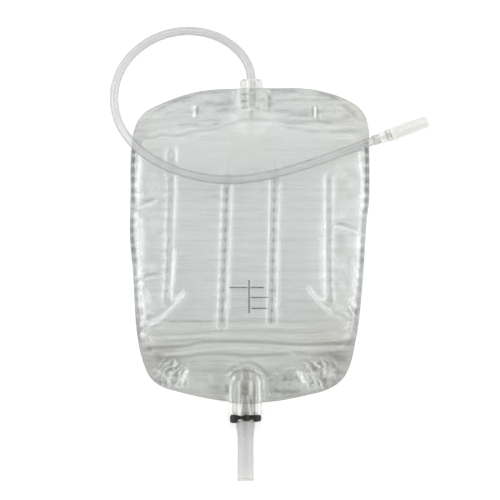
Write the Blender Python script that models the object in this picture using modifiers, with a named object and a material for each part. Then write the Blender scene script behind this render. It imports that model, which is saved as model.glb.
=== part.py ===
"""Urine drainage leg bag, lying on its back.

Frame: +X to the right, +Y towards the inlet tube, +Z out of the front film.
The origin is under the middle of the bag and its outlet, on the plane the bag
rests on. Two PVC films are welded round the edge and along four vertical
seams. An inlet port with a tube and a capped connector is welded in at the
top, and a push-pull drain valve with a soft outlet tube at the bottom.
"""

import math

import bmesh
import bpy
import numpy as np
from mathutils import Vector

MM = 0.001

# ---------------------------------------------------------------- dimensions
# The bag's pattern is drawn on a grid of 0.77 mm, x to the right, y downwards.
GRID = 0.77 * MM
GRID_X0, GRID_Y0 = 249.65, 279.75

FILM = 0.35 * MM            # thickness of one film
GAP = 0.30 * MM             # clearance kept between neighbouring solids
FILM_GAP = 0.25 * MM        # between the two films where they are welded
FRONT_Z = FILM + FILM_GAP   # underside of the front film at a weld

CHAMBER_RISE = 8.6 * MM     # how far the front film stands up between welds
SIDE_RISE = 6.8 * MM        # in the two narrow chambers at the sides
SEAM_SOFT = 7.0 * MM        # distance over which the film lifts off a weld

SLOT_LENGTH, SLOT_WIDTH = 10.0 * MM, 2.4 * MM

TUBE_R = 3.35 * MM          # inlet tube, outer radius
PORT_AXIS_X = 251.2         # grid
PORT_TOP, PORT_END, NIPPLE_END = 79.5, 111.0, 128.0   # grid, down the page
PORT_WIDTH, PORT_THICK, PORT_ROUND = 17.0 * MM, 6.0 * MM, 2.6 * MM
PORT_BOSS_R, PORT_BORE_R, NIPPLE_R, NIPPLE_BORE_R = 4.35 * MM, 3.65 * MM, 3.0 * MM, 1.9 * MM
PORT_Z = FILM + GAP + PORT_BOSS_R
TUBE_IN_PORT = 106.0        # grid row where the tube ends in the port

OUTLET_AXIS_X = 245.6       # grid
OUTLET_TOP = 366.0          # grid row of the housing's neck
HOUSING_A, HOUSING_B = 12.4 * MM, 7.2 * MM      # half width, half thickness
HOUSING_N = 2.6             # roundness of its section
OUTLET_Z = FILM + GAP + HOUSING_B
HOUSING_LENGTH = 37.0 * MM
ENTRY_R, THROAT_R, BARREL_R = 1.9 * MM, 3.6 * MM, 5.0 * MM
THROAT_FROM, THROAT_TO = 7.6 * MM, 12.6 * MM
LIP_R, LIP_FROM = 4.5 * MM, 36.0 * MM       # the lip that stops the plunger's piston
PLUNGER_BORE_R = 1.9 * MM
VALVE_TRAVEL = 8.0 * MM
OUTLET_TUBE_R, OUTLET_BORE_R = 6.5 * MM, 4.5 * MM   # at the cut end
OUTLET_TUBE_END = 87.75 * MM     # from the neck, along the outlet

CONNECTOR_START = (373.0, 141.0)  # grid, where the tube enters the connector
CONNECTOR_ANGLE = math.radians(20.0)
CAP_R = 5.5 * MM
CONNECTOR_Z = CAP_R + 0.05 * MM
CAP_AT, CAP_LENGTH = 12.6 * MM, 33.6 * MM


def grid(x, y):
    """A point of the pattern, in metres."""
    return ((x - GRID_X0) * GRID, (GRID_Y0 - y) * GRID)


# The outer cut line, clockwise from the middle of the top edge.
CUT_LINE = [
    (252, 88.6), (278, 88.0), (303, 88.2), (326, 92), (345, 98.6), (358, 106.5),
    (365.5, 116), (368.6, 128), (368.9, 141), (369.5, 160), (369.7, 180),
    (369.2, 201), (367.2, 219), (365.6, 238), (364.6, 258), (363, 280),
    (361.2, 301), (358.6, 325), (355, 345), (350.6, 364), (342.5, 379.5),
    (328, 389.6), (302, 396.6), (280, 400.8), (262, 402.3), (245, 402.5),
    (228, 401.6), (205, 398.2), (178, 391.9), (161, 386.6), (150, 377.5),
    (142.6, 361), (138, 342), (135.6, 322), (134.2, 300), (132.8, 272),
    (130.6, 250), (129.6, 230), (130.0, 210), (130.3, 190), (130.3, 165),
    (131.2, 149), (133.3, 134), (137.4, 121.5), (145, 112), (158, 104.8),
    (177, 97.2), (194, 92.2), (213, 89.4), (232, 88.8),
]

# The inner edge of the weld: the limit of the reservoir, clockwise from the top.
RESERVOIR = [
    (252, 118.5), (280, 119.8), (308, 122.6), (333, 126.5), (352, 131.5),
    (362, 140), (364.4, 156), (364.6, 180), (364.2, 201), (362.2, 219),
    (360.6, 238), (359.6, 258), (358, 280), (356.2, 300), (353.4, 323),
    (347.5, 343), (334, 355.5), (310, 361.5), (285, 365.5), (264, 368),
    (245.6, 368), (227, 368), (206, 366), (184, 362.5), (160, 357),
    (147.5, 345.5), (141.8, 325), (139.4, 300), (138, 272), (135.6, 250),
    (134.6, 230), (135.0, 210), (135.3, 190), (135.3, 165), (136.6, 148),
    (142, 137.5), (156, 132), (178, 127), (203, 122.6), (228, 119.6),
]

# Vertical weld seams: x at the top end, y of the top end, x and y of the bottom end.
SEAMS = [
    (171.0, 152.0, 166.6, 303.0),
    (227.3, 176.0, 221.8, 326.0),
    (274.9, 172.0, 271.6, 321.0),
    (329.8, 178.0, 330.0, 301.0),
]

# Strap slots: centre and lean of the slot from upright, in degrees.
SLOTS = [(194.3, 110.8, 0.0), (315.2, 111.6, 0.0), (184.6, 375.6, -25.0), (302.4, 377.4, 25.0)]

# The inlet tube's route over the table and the bag: grid x, grid y, height in mm.
ROUTE = [
    (251.2, 106.0, 5.0), (251.2, 97.5, 5.0), (251.2, 87.3, 5.0), (251.1, 79.0, 5.0),
    (250.0, 70.8, 4.8), (246.2, 61.2, 4.3), (237.1, 49.6, 3.65), (223.6, 39.6, 3.4), (208.1, 33.5, 3.4),
    (187.6, 30.9, 3.4), (167.0, 33.8, 3.4), (151.6, 40.0, 3.4), (137.8, 49.2, 3.4),
    (126.4, 61.3, 3.4), (119.0, 74.0, 3.4), (114.6, 89.8, 3.4), (114.2, 104.4, 3.4),
    (118.0, 120.5, 3.7), (124.7, 133.3, 4.7), (133.9, 144.5, 6.25), (146.4, 155.1, 8.2),
    (162.4, 164.7, 10.0), (177.6, 171.2, 11.0), (193.6, 175.9, 11.5), (212.0, 179.2, 11.6),
    (232.8, 180.2, 11.6), (251.4, 178.6, 11.6), (269.9, 175.3, 11.4), (288.0, 170.8, 11.0),
    (307.9, 164.8, 10.2), (327.5, 157.9, 8.85), (344.9, 151.4, 7.3), (360.5, 145.6, 6.1),
    (373.0, 141.0, 5.55), (380.0, 138.45, 5.55),
]


# ------------------------------------------------------------------- curves
def through(points, per_span, closed):
    """A smooth curve through the points: centripetal Catmull-Rom, sampled."""
    p = np.array(points, float)
    n = len(p)
    if closed:
        q = np.vstack([p[-1], p, p[0], p[1]])
        spans = n
    else:
        q = np.vstack([2 * p[0] - p[1], p, 2 * p[-1] - p[-2]])
        spans = n - 1
    out = []
    for i in range(spans):
        a, b, c, d = q[i], q[i + 1], q[i + 2], q[i + 3]
        t0 = 0.0
        t1 = t0 + np.linalg.norm(b - a) ** 0.5
        t2 = t1 + np.linalg.norm(c - b) ** 0.5
        t3 = t2 + np.linalg.norm(d - c) ** 0.5
        for k in range(per_span):
            t = t1 + (t2 - t1) * k / per_span
            a1 = (t1 - t) / (t1 - t0) * a + (t - t0) / (t1 - t0) * b
            a2 = (t2 - t) / (t2 - t1) * b + (t - t1) / (t2 - t1) * c
            a3 = (t3 - t) / (t3 - t2) * c + (t - t2) / (t3 - t2) * d
            b1 = (t2 - t) / (t2 - t0) * a1 + (t - t0) / (t2 - t0) * a2
            b2 = (t3 - t) / (t3 - t1) * a2 + (t - t1) / (t3 - t1) * a3
            out.append((t2 - t) / (t2 - t1) * b1 + (t - t1) / (t2 - t1) * b2)
    if not closed:
        out.append(p[-1])
    return np.array(out)


def even(line, count):
    """The open line again, as count points evenly spaced along it."""
    along = np.concatenate([[0], np.cumsum(np.linalg.norm(np.diff(line, axis=0), axis=1))])
    at = np.linspace(0, along[-1], count)
    return np.stack([np.interp(at, along, line[:, k]) for k in range(line.shape[1])], 1)


def to_line(points, line, closed):
    """Distance of each point from a polyline, and the share along its nearest piece."""
    a = line
    b = np.roll(line, -1, axis=0) if closed else line[1:]
    a = a if closed else line[:-1]
    d = b - a
    best = np.full(len(points), np.inf)
    which = np.zeros(len(points), int)
    share = np.zeros(len(points))
    for i in range(len(a)):
        t = np.clip(((points - a[i]) @ d[i]) / max(d[i] @ d[i], 1e-18), 0, 1)
        far = np.linalg.norm(points - a[i] - t[:, None] * d[i], axis=1)
        near = far < best
        best[near], which[near], share[near] = far[near], i, t[near]
    return best, which, share


def inside(points, loop):
    """Which points lie inside a closed loop."""
    x, y = points[:, 0], points[:, 1]
    hit = np.zeros(len(points), bool)
    for (x1, y1), (x2, y2) in zip(loop, np.roll(loop, -1, axis=0)):
        crosses = (y1 > y) != (y2 > y)
        if y1 != y2:
            hit ^= crosses & (x < (x2 - x1) * (y - y1) / (y2 - y1) + x1)
    return hit


CUT = np.array([grid(x, y) for x, y in through(CUT_LINE, 8, True)])
POUCH = np.array([grid(x, y) for x, y in through(RESERVOIR, 4, True)])
TUBE_PATH = through([(*grid(x, y), z * MM) for x, y, z in ROUTE], 8, False)
CROSSING = TUBE_PATH[8 * 17 :]      # the stretch that lies over the bag
SEAM_LINES = [np.array([grid(x1, y1), grid(x2, y2)]) for x1, y1, x2, y2 in SEAMS]


# -------------------------------------------------------------- film height
def eased(t):
    t = np.clip(t, 0, 1)
    return t * t * (3 - 2 * t)


def front_height(points):
    """Height of the underside of the front film above the table, at points in plan."""
    points = np.asarray(points, float)
    edge, _, _ = to_line(points, POUCH, True)
    edge = np.where(inside(points, POUCH), edge, 0.0)
    seam = np.full(len(points), np.inf)
    for line in SEAM_LINES:
        seam = np.minimum(seam, to_line(points, line, False)[0])
    lift = (1 - np.exp(-edge / SEAM_SOFT)) * (1 - 0.93 * np.exp(-((seam / (0.75 * SEAM_SOFT)) ** 1.3)))
    left, right = grid(168, 0)[0], grid(329, 0)[0]
    narrow = eased((left - points[:, 0]) / (4 * MM)) + eased((points[:, 0] - right) / (4 * MM))
    below = eased((grid(0, 168)[1] - points[:, 1]) / (20 * MM))
    rise = CHAMBER_RISE - (CHAMBER_RISE - SIDE_RISE) * narrow * below
    height = lift * rise

    # over the inlet port and its nipple
    x0, _ = grid(PORT_AXIS_X, 0)
    off = np.abs(points[:, 0] - x0)
    across = np.interp(off, np.array([0, 6.5, 9.5, 12.5, 17]) * MM, [1, 1, 0.96, 0.60, 0])
    rows = [grid(0, y)[1] for y in (NIPPLE_END + 30, NIPPLE_END + 12, NIPPLE_END + 2, PORT_END)]
    along = np.interp(points[:, 1], rows, [0.0, 0.62, 0.97, 1.0])
    height = np.maximum(height, across * along * (PORT_Z + PORT_BOSS_R + 0.6 * MM - FRONT_Z))

    # over the outlet housing
    x0, _ = grid(OUTLET_AXIS_X, 0)
    off = np.abs(points[:, 0] - x0)
    across = np.interp(off, np.array([0, 9.3, 13.2, 17.0, 19.5]) * MM, [1, 1, 0.74, 0.07, 0])
    rows = [grid(0, y)[1] for y in (402, 382, 366, 348)]
    along = np.interp(points[:, 1], rows, [1.0, 1.0, 0.80, 0.0])
    height = np.maximum(height, across * along * (OUTLET_Z + HOUSING_B + 0.9 * MM - FRONT_Z))

    # pressed down under the inlet tube
    far, which, share = to_line(points, CROSSING[:, :2], False)
    z = CROSSING[which, 2] * (1 - share) + CROSSING[which + 1, 2] * share
    limit = z - TUBE_R - FILM - 0.6 * MM - FRONT_Z + 0.5 * np.maximum(far - 9 * MM, 0)
    height = np.minimum(height, np.maximum(limit, 0))
    return FRONT_Z + height


# ------------------------------------------------------------------ helpers
for old in list(bpy.data.objects):
    bpy.data.objects.remove(old, do_unlink=True)

parts = bpy.data.collections.new("urine_drainage_bag")
cutters = bpy.data.collections.new("cutters")
bpy.context.scene.collection.children.link(parts)
bpy.context.scene.collection.children.link(cutters)


def material(name, colour, roughness, alpha=1.0, metallic=0.0):
    made = bpy.data.materials.new(name)
    made.use_nodes = True
    shader = made.node_tree.nodes["Principled BSDF"]
    shader.inputs["Base Color"].default_value = (*colour, 1.0)
    shader.inputs["Roughness"].default_value = roughness
    shader.inputs["Metallic"].default_value = metallic
    shader.inputs["Alpha"].default_value = alpha
    return made


FILM_PVC = material("clear_film", (0.86, 0.89, 0.88), 0.18, 0.35)
VALVE_FILM = material("valve_film", (0.90, 0.92, 0.92), 0.25, 0.30)
SOFT_PVC = material("clear_soft_pvc", (0.84, 0.86, 0.86), 0.22, 0.55)
CLEAR_RIGID = material("clear_rigid", (0.80, 0.82, 0.79), 0.08, 0.45)
WHITE_CAP = material("white_polythene", (0.93, 0.93, 0.90), 0.40)
DARK_RING = material("dark_elastomer", (0.06, 0.06, 0.055), 0.55)
SEAL = material("seal_rubber", (0.30, 0.30, 0.29), 0.60)
MILKY = material("milky_silicone", (0.83, 0.83, 0.84), 0.35, 0.8)


def put(obj, finish, collection=parts):
    for c in list(obj.users_collection):
        c.objects.unlink(obj)
    collection.objects.link(obj)
    obj.data.materials.clear()
    if finish is not None:
        obj.data.materials.append(finish)
    if collection is cutters:
        obj.hide_render = True
        obj.display_type = "WIRE"
    return obj


def baked(obj):
    """The object with its modifiers applied and its curve made a mesh."""
    bpy.context.view_layer.update()
    graph = bpy.context.evaluated_depsgraph_get()
    mesh = bpy.data.meshes.new_from_object(obj.evaluated_get(graph), depsgraph=graph)
    shape = bmesh.new()
    shape.from_mesh(mesh)
    bmesh.ops.remove_doubles(shape, verts=shape.verts, dist=1e-6)
    shape.to_mesh(mesh)
    shape.free()
    name = obj.name
    made = bpy.data.objects.new(name + "_mesh", mesh)
    made.matrix_world = obj.matrix_world
    bpy.context.scene.collection.objects.link(made)
    bpy.data.objects.remove(obj, do_unlink=True)
    made.name = name
    mesh.name = name
    return made


def turned(name, profile, steps=32):
    """A shape turned about its own Z. The profile is (radius, z) in millimetres,
    down the outside first. It is a closed loop unless it begins and ends on the axis."""
    mesh = bpy.data.meshes.new(name)
    n = len(profile)
    on_axis = profile[0][0] == 0 and profile[-1][0] == 0
    edges = [(i, i + 1) for i in range(n - 1)] + ([] if on_axis else [(n - 1, 0)])
    mesh.from_pydata([(r * MM, 0, z * MM) for r, z in profile], edges, [])
    obj = bpy.data.objects.new(name, mesh)
    bpy.context.scene.collection.objects.link(obj)
    turn = obj.modifiers.new("Turn", "SCREW")
    turn.axis = "Z"
    turn.angle = 2 * math.pi
    turn.steps = turn.render_steps = steps
    turn.use_merge_vertices = True
    turn.merge_threshold = 1e-6
    turn.use_smooth_shade = True
    return obj


def cut(obj, cutter, operation="DIFFERENCE"):
    step = obj.modifiers.new(operation.title(), "BOOLEAN")
    step.operation = operation
    step.solver = "EXACT"
    step.object = cutter
    return step


def rod(name, radius, start, end, vertices=24):
    """A plain round bar between two points, for a cut or a join."""
    start, end = Vector(start), Vector(end)
    bpy.ops.mesh.primitive_cylinder_add(vertices=vertices, radius=radius, depth=(end - start).length)
    obj = bpy.context.object
    obj.name = name
    obj.location = (start + end) / 2
    obj.rotation_mode = "QUATERNION"
    obj.rotation_quaternion = (end - start).to_track_quat("Z", "Y")
    return obj


def smooth(obj, degrees=35):
    obj.data.shade_smooth()
    obj.data.set_sharp_from_angle(angle=math.radians(degrees))
    return obj


def stadium(name, length, width, lean, centre):
    """A slot-shaped cutter that runs through both films."""
    flat = bpy.data.curves.new(name, "CURVE")
    flat.dimensions = "2D"
    flat.fill_mode = "BOTH"
    flat.extrude = 6 * MM
    spline = flat.splines.new("POLY")
    r, half = width / 2, length / 2 - width / 2
    ring = [(r * math.cos(t), half + r * math.sin(t)) for t in np.linspace(0, math.pi, 7)]
    ring += [(-r * math.cos(t), -half - r * math.sin(t)) for t in np.linspace(0, math.pi, 7)]
    spline.points.add(len(ring) - 1)
    for point, (x, y) in zip(spline.points, ring):
        point.co = (x, y, 0, 1)
    spline.use_cyclic_u = True
    obj = bpy.data.objects.new(name, flat)
    bpy.context.scene.collection.objects.link(obj)
    obj.location = (*grid(*centre), 0)
    obj.rotation_euler = (0, 0, math.radians(lean))
    return put(baked(obj), None, cutters)


slots = [
    stadium(f"slot_cutter_{i}", SLOT_LENGTH, SLOT_WIDTH, lean, (x, y))
    for i, (x, y, lean) in enumerate(SLOTS)
]

# ---------------------------------------------------------------- back film
# A flat sheet cut to the outline, which lies on the table.
flat = bpy.data.curves.new("back_film", "CURVE")
flat.dimensions = "2D"
flat.fill_mode = "BOTH"
flat.extrude = FILM / 2
spline = flat.splines.new("POLY")
outline = CUT[::4]
spline.points.add(len(outline) - 1)
for point, (x, y) in zip(spline.points, outline):
    point.co = (x, y, 0, 1)
spline.use_cyclic_u = True
back_film = bpy.data.objects.new("back_film", flat)
bpy.context.scene.collection.objects.link(back_film)
back_film.location.z = FILM / 2
back_film = put(baked(back_film), FILM_PVC)
for slot in slots:
    cut(back_film, slot)

# --------------------------------------------------------------- front film
# A grid stretched between the four sides of the outline, then lifted.
COLUMNS = [
    130, 134.5, 140, 147, 155, 163, 169.8, 177, 187, 199, 211, 220, 226.2, 229.3, 233.5,
    239.5, 245.6, 251.7, 257.7, 262.6, 267.5, 274.8, 282, 293, 305, 316, 328, 335,
    343, 351, 357.5, 362, 366.5,
]
ROWS = [
    402.5, 397, 390, 382, 374, 367, 360, 352, 343, 333, 322, 310, 298, 286, 274, 262,
    250, 238, 226, 214, 202, 192, 183, 174, 165, 156, 147, 138, 130, 123, 117, 111,
    104, 96.5, 88.6,
]
CORNERS = {"bl": (149.0, 376.3), "br": (345.5, 375.5), "tr": (362.0, 110.5), "tl": (141.2, 116.0)}


def side(start, end, loop):
    """The stretch of the closed loop that runs from one corner to the next."""
    a = np.argmin(np.linalg.norm(loop - np.array(grid(*CORNERS[start])), axis=1))
    b = np.argmin(np.linalg.norm(loop - np.array(grid(*CORNERS[end])), axis=1))
    return loop[a : b + 1] if a <= b else np.vstack([loop[a:], loop[: b + 1]])


right = side("tr", "br", CUT)[::-1]      # upwards
bottom = side("br", "bl", CUT)[::-1]     # to the right
left = side("bl", "tl", CUT)             # upwards
top = side("tl", "tr", CUT)              # to the right


def at_share(line, axis, share):
    """The point where the line has gone this share of its way along one axis."""
    value = line[0, axis] + share * (line[-1, axis] - line[0, axis])
    return np.stack([np.interp(value, line[:, axis], line[:, k]) for k in (0, 1)], -1)


def stretched(u, v):
    """Where a point (u, v) of the unit square lands between the four sides."""
    b, t = at_share(bottom, 0, u), at_share(top, 0, u)
    l, r = at_share(left, 1, v), at_share(right, 1, v)
    u, v = u[:, None], v[:, None]
    corners = (1 - u) * (1 - v) * bottom[0] + u * (1 - v) * bottom[-1] + (1 - u) * v * top[0] + u * v * top[-1]
    return (1 - v) * b + v * t + (1 - u) * l + u * r - corners


us = [(x - COLUMNS[0]) / (COLUMNS[-1] - COLUMNS[0]) for x in COLUMNS]
vs = [(y - ROWS[0]) / (ROWS[-1] - ROWS[0]) for y in ROWS]
bpy.ops.mesh.primitive_grid_add(x_subdivisions=len(us) - 1, y_subdivisions=len(vs) - 1, size=2)
front_film = bpy.context.object
front_film.name = "front_film"
sheet = front_film.data
co = np.empty(len(sheet.vertices) * 3)
sheet.vertices.foreach_get("co", co)
co = co.reshape(-1, 3)
column = np.rint((co[:, 0] + 1) / 2 * (len(us) - 1)).astype(int)
row = np.rint((co[:, 1] + 1) / 2 * (len(vs) - 1)).astype(int)
plan = stretched(np.array(us)[column], np.array(vs)[row])
co[:, :2] = plan
co[:, 2] = front_height(plan)
rim = (column == 0) | (column == len(us) - 1) | (row == 0) | (row == len(vs) - 1)
humps = (np.abs(plan[:, 0] - grid(OUTLET_AXIS_X, 0)[0]) < 19.4 * MM) | (plan[:, 1] > 0)
co[rim & ~humps, 2] = FRONT_Z
sheet.vertices.foreach_set("co", co.ravel())
sheet.update()
thick = front_film.modifiers.new("Thickness", "SOLIDIFY")
thick.thickness = FILM
thick.offset = 1.0
thick.use_even_offset = False
front_film = put(baked(front_film), FILM_PVC)
for slot in slots:
    cut(front_film, slot)
smooth(front_film, 40)

# -------------------------------------------------------- non-return valve
# Two thin leaves lie on each other inside the bag, below the inlet nipple.
LEAF = 0.30 * MM
LEAF_TOP, LEAF_END = 125.0, 176.0       # grid rows
LEAF_HALF_TOP, LEAF_HALF_END = 15.0 * MM, 19.0 * MM


def leaf(name, z, over_nipple, columns, rows):
    bpy.ops.mesh.primitive_grid_add(x_subdivisions=columns, y_subdivisions=rows, size=2)
    obj = bpy.context.object
    obj.name = name
    x0, y_top = grid(PORT_AXIS_X, LEAF_TOP)
    y_end = grid(0, LEAF_END)[1]
    for v in obj.data.vertices:
        share = (v.co.y + 1) / 2
        half = LEAF_HALF_END + (LEAF_HALF_TOP - LEAF_HALF_END) * share
        x, y = v.co.x * half, y_end + (y_top - y_end) * share
        height = z
        if over_nipple:
            across = float(np.interp(abs(x), [3.6 * MM, 9.5 * MM], [1, 0]))
            along = float(eased((y - grid(0, NIPPLE_END + 13)[1]) / (8 * MM)))
            height = max(z, z + (PORT_Z + NIPPLE_R + GAP - z) * across * along)
        v.co = (x0 + x, y, height)
    thick = obj.modifiers.new("Thickness", "SOLIDIFY")
    thick.thickness = LEAF
    thick.offset = 1.0
    return put(baked(obj), VALVE_FILM)


leaf("valve_leaf_back", FILM + GAP, False, 2, 2)
leaf("valve_leaf_front", FILM + 2 * GAP + LEAF, True, 12, 10)

# --------------------------------------------------------------- inlet port
# A flat moulded body with a round boss along it, and a nipple into the bag.
x0, y_top = grid(PORT_AXIS_X, PORT_TOP)
_, y_end = grid(0, PORT_END)
_, y_nipple = grid(0, NIPPLE_END)
_, y_tube = grid(0, TUBE_IN_PORT)
bpy.ops.mesh.primitive_cube_add(size=1)
inlet_port = bpy.context.object
inlet_port.name = "inlet_port"
inlet_port.location = (x0, (y_top + y_end) / 2, PORT_Z)
for v in inlet_port.data.vertices:
    v.co = (v.co.x * PORT_WIDTH, v.co.y * (y_top - y_end), v.co.z * PORT_THICK)
round_off = inlet_port.modifiers.new("Rounding", "BEVEL")
round_off.width = PORT_ROUND
round_off.segments = 3
boss = put(rod("port_boss", PORT_BOSS_R, (x0, y_top - 0.4 * MM, PORT_Z), (x0, y_end + 0.4 * MM, PORT_Z), 24), None, cutters)
nipple = put(rod("port_nipple", NIPPLE_R, (x0, y_end + 3 * MM, PORT_Z), (x0, y_nipple, PORT_Z), 20), None, cutters)
socket = put(rod("port_socket", PORT_BORE_R, (x0, y_top + 5 * MM, PORT_Z), (x0, y_tube - GAP, PORT_Z), 24), None, cutters)
passage = put(rod("port_passage", NIPPLE_BORE_R, (x0, y_tube + 2 * MM, PORT_Z), (x0, y_nipple - 5 * MM, PORT_Z), 16), None, cutters)
cut(inlet_port, boss, "UNION")
cut(inlet_port, nipple, "UNION")
cut(inlet_port, socket)
cut(inlet_port, passage)
put(inlet_port, SOFT_PVC)

# --------------------------------------------------------------- inlet tube
route = even(TUBE_PATH, 52)
line = bpy.data.curves.new("inlet_tube", "CURVE")
line.dimensions = "3D"
line.bevel_depth = TUBE_R
line.bevel_resolution = 2
line.use_fill_caps = True
spline = line.splines.new("POLY")
spline.points.add(len(route) - 1)
for point, p in zip(spline.points, route):
    point.co = (*p, 1)
inlet_tube = bpy.data.objects.new("inlet_tube", line)
put(inlet_tube, SOFT_PVC)

# -------------------------------------------------- connector and its cap
# Both are turned about the same slanting axis; their own Z runs out along it.
# The connector takes the tube in its barrel and ends in a stepped nose.
direction = Vector((math.cos(CONNECTOR_ANGLE), math.sin(CONNECTOR_ANGLE), 0))
start = Vector((*grid(*CONNECTOR_START), CONNECTOR_Z))
TUBE_IN_CONNECTOR = float(np.linalg.norm(TUBE_PATH[-1, :2] - np.array(start[:2]))) / MM
bore = TUBE_IN_CONNECTOR + 0.3
connector = turned(
    "tube_connector",
    [
        (1.7, 43.0), (2.5, 43.0), (2.95, 34.0), (3.45, 34.0), (3.8, 23.5), (4.1, 23.5),
        (4.3, 14.2), (4.9, 14.2), (4.9, 11.4), (4.25, 11.0), (4.15, 4.5), (3.95, 0.0),
        (3.65, 0.0), (3.65, bore), (1.7, bore),
    ],
    28,
)
cap = turned(
    "connector_cap",
    [
        (0.0, CAP_AT / MM + 33.6), (3.2, CAP_AT / MM + 33.4), (4.7, CAP_AT / MM + 32.3),
        (5.1, CAP_AT / MM + 30.0), (5.35, 17.2), (5.5, 16.6), (5.5, 14.7),
        (5.2, 14.55), (4.65, 14.55), (4.65, 18.0), (3.9, 36.0), (3.4, CAP_AT / MM + 31.2),
        (2.8, CAP_AT / MM + 32.45), (0.0, CAP_AT / MM + 32.65),
    ],
    28,
)
for obj, finish in ((connector, CLEAR_RIGID), (cap, WHITE_CAP)):
    obj.rotation_mode = "QUATERNION"
    obj.rotation_quaternion = direction.to_track_quat("Z", "Y")
    obj.location = start
    put(obj, finish)

# ------------------------------------------------------------ outlet valve
# Every piece is made about its own Z, which runs down the outlet from the neck.
ox, oy = grid(OUTLET_AXIS_X, OUTLET_TOP)
OUTLET = Vector((ox, oy, OUTLET_Z))


def on_outlet(obj, finish):
    obj.location = OUTLET
    obj.rotation_euler = (math.pi / 2, 0, 0)
    return put(obj, finish)


def flattened(obj, ratio, power):
    """Squares off a turned shape's section and thins it from front to back."""
    for v in obj.data.vertices:
        r = math.hypot(v.co.x, v.co.y)
        if r < 1e-9:
            continue
        c, s = v.co.x / r, v.co.y / r
        v.co.x = r * math.copysign(abs(c) ** (2 / power), c)
        v.co.y = r * ratio * math.copysign(abs(s) ** (2 / power), s)
    return obj


a = HOUSING_A / MM
shoulder = [
    (6.2 + (a - 6.2) * math.sin(t), 3.1 + 8.4 * (1 - math.cos(t)))
    for t in np.linspace(0, math.pi / 2, 7)
]
housing = turned(
    "outlet_housing",
    [(0.0, HOUSING_LENGTH / MM)]
    + [(a - 0.7, HOUSING_LENGTH / MM), (a, HOUSING_LENGTH / MM - 0.8)]
    + shoulder[::-1]
    + [(6.2, 0.5), (5.7, 0.0), (0.0, 0.0)],
    40,
)
# the profile above runs up the outside, so the shape is turned the right way out
housing = baked(housing)
flattened(housing, HOUSING_B / HOUSING_A, HOUSING_N)
shape = bmesh.new()
shape.from_mesh(housing.data)
bmesh.ops.recalc_face_normals(shape, faces=shape.faces)
shape.to_mesh(housing.data)
shape.free()
for name, radius, z1, z2 in (
    ("housing_entry", ENTRY_R, -3 * MM, THROAT_FROM + 1 * MM),
    ("housing_throat", THROAT_R, THROAT_FROM, THROAT_TO + 1 * MM),
    ("housing_barrel", BARREL_R, THROAT_TO, LIP_FROM),
    ("housing_mouth", LIP_R, LIP_FROM - 1 * MM, HOUSING_LENGTH + 3 * MM),
):
    cutter = rod(name, radius, (ox, oy - z1, OUTLET_Z), (ox, oy - z2, OUTLET_Z), 28)
    cut(housing, put(cutter, None, cutters))
on_outlet(housing, CLEAR_RIGID)

# The plunger: a sealing head in the throat, a hollow stem with two windows, a
# piston in the barrel and a nozzle for the soft tube.
PISTON_R, STEM_R, NOZZLE_R = 4.7, 4.2, 5.3
GRIP_FROM, GRIP_TO = HOUSING_LENGTH / MM + 0.3, HOUSING_LENGTH / MM + 4.5
NOZZLE_END = 52.5
STOP_AT = LIP_FROM / MM - VALVE_TRAVEL / MM - 0.3     # the piston's lower shoulder
bore = PLUNGER_BORE_R / MM
plunger = turned(
    "valve_plunger",
    [
        (0.0, 12.8), (bore, 12.8), (bore, NOZZLE_END), (4.6, NOZZLE_END),
        (NOZZLE_R, NOZZLE_END - 1.6), (NOZZLE_R, GRIP_TO + 0.3), (STEM_R, GRIP_TO + 0.3),
        (STEM_R, STOP_AT), (PISTON_R, STOP_AT), (PISTON_R, 22.2), (3.7, 22.2), (3.7, 20.2),
        (PISTON_R, 20.2), (PISTON_R, 18.2), (3.1, 17.4), (3.1, 12.0), (3.35, 11.6),
        (3.35, 10.7), (2.55, 10.7), (2.55, 9.1), (3.35, 9.1), (3.35, 8.5), (2.9, 8.0), (0.0, 8.0),
    ],
    24,
)
window = put(rod("plunger_window", 1.3 * MM, (ox, oy - 15.2 * MM, OUTLET_Z - 6 * MM), (ox, oy - 15.2 * MM, OUTLET_Z + 6 * MM), 16), None, cutters)
cut(plunger, window)
on_outlet(plunger, CLEAR_RIGID)


def ring_seal(name, inner, outer, at, half):
    """A rubber ring with a round section, in its groove on the plunger."""
    middle, r = (inner + outer) / 2, (outer - inner) / 2
    loop = [
        (middle + r * math.sin(t), at + half * math.cos(t))
        for t in np.linspace(0, 2 * math.pi, 8, endpoint=False)
    ]
    return on_outlet(turned(name, loop, 20), SEAL)


ring_seal("head_seal_ring", 2.75, 3.45, 9.9, 0.65)
ring_seal("piston_seal_ring", 3.9, 4.88, 21.2, 0.8)

# The dark grip ring round the plunger, thicker at its two finger ends. It is
# turned with a share as its radius: 1 at the round hole, 2 at the outer edge.
GRIP_A, GRIP_B, HOLE_R = 12.1 * MM, 7.0 * MM, (STEM_R + 0.3) * MM
grip = baked(turned(
    "grip_ring",
    [
        (1.92, GRIP_TO), (2.0, GRIP_TO - 0.7), (2.0, GRIP_FROM + 0.7), (1.92, GRIP_FROM),
        (1.0, GRIP_FROM), (1.0, GRIP_TO), (1.40, GRIP_TO), (1.52, GRIP_TO),
    ][::-1],
    36,
))
for v in grip.data.vertices:
    share = math.hypot(v.co.x, v.co.y) / MM - 1
    angle = math.atan2(v.co.y, v.co.x)
    c, s = math.cos(angle), math.sin(angle)
    out_x = GRIP_A * math.copysign(abs(c) ** (2 / HOUSING_N), c)
    out_y = GRIP_B * math.copysign(abs(s) ** (2 / HOUSING_N), s)
    v.co.x = (1 - share) * HOLE_R * c + share * out_x
    v.co.y = (1 - share) * HOLE_R * s + share * out_y
    if v.co.z > (GRIP_TO - 1.5) * MM:
        v.co.z += 1.7 * MM * float(eased((abs(v.co.x) - 7.6 * MM) / (1.0 * MM)))
shape = bmesh.new()
shape.from_mesh(grip.data)
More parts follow.
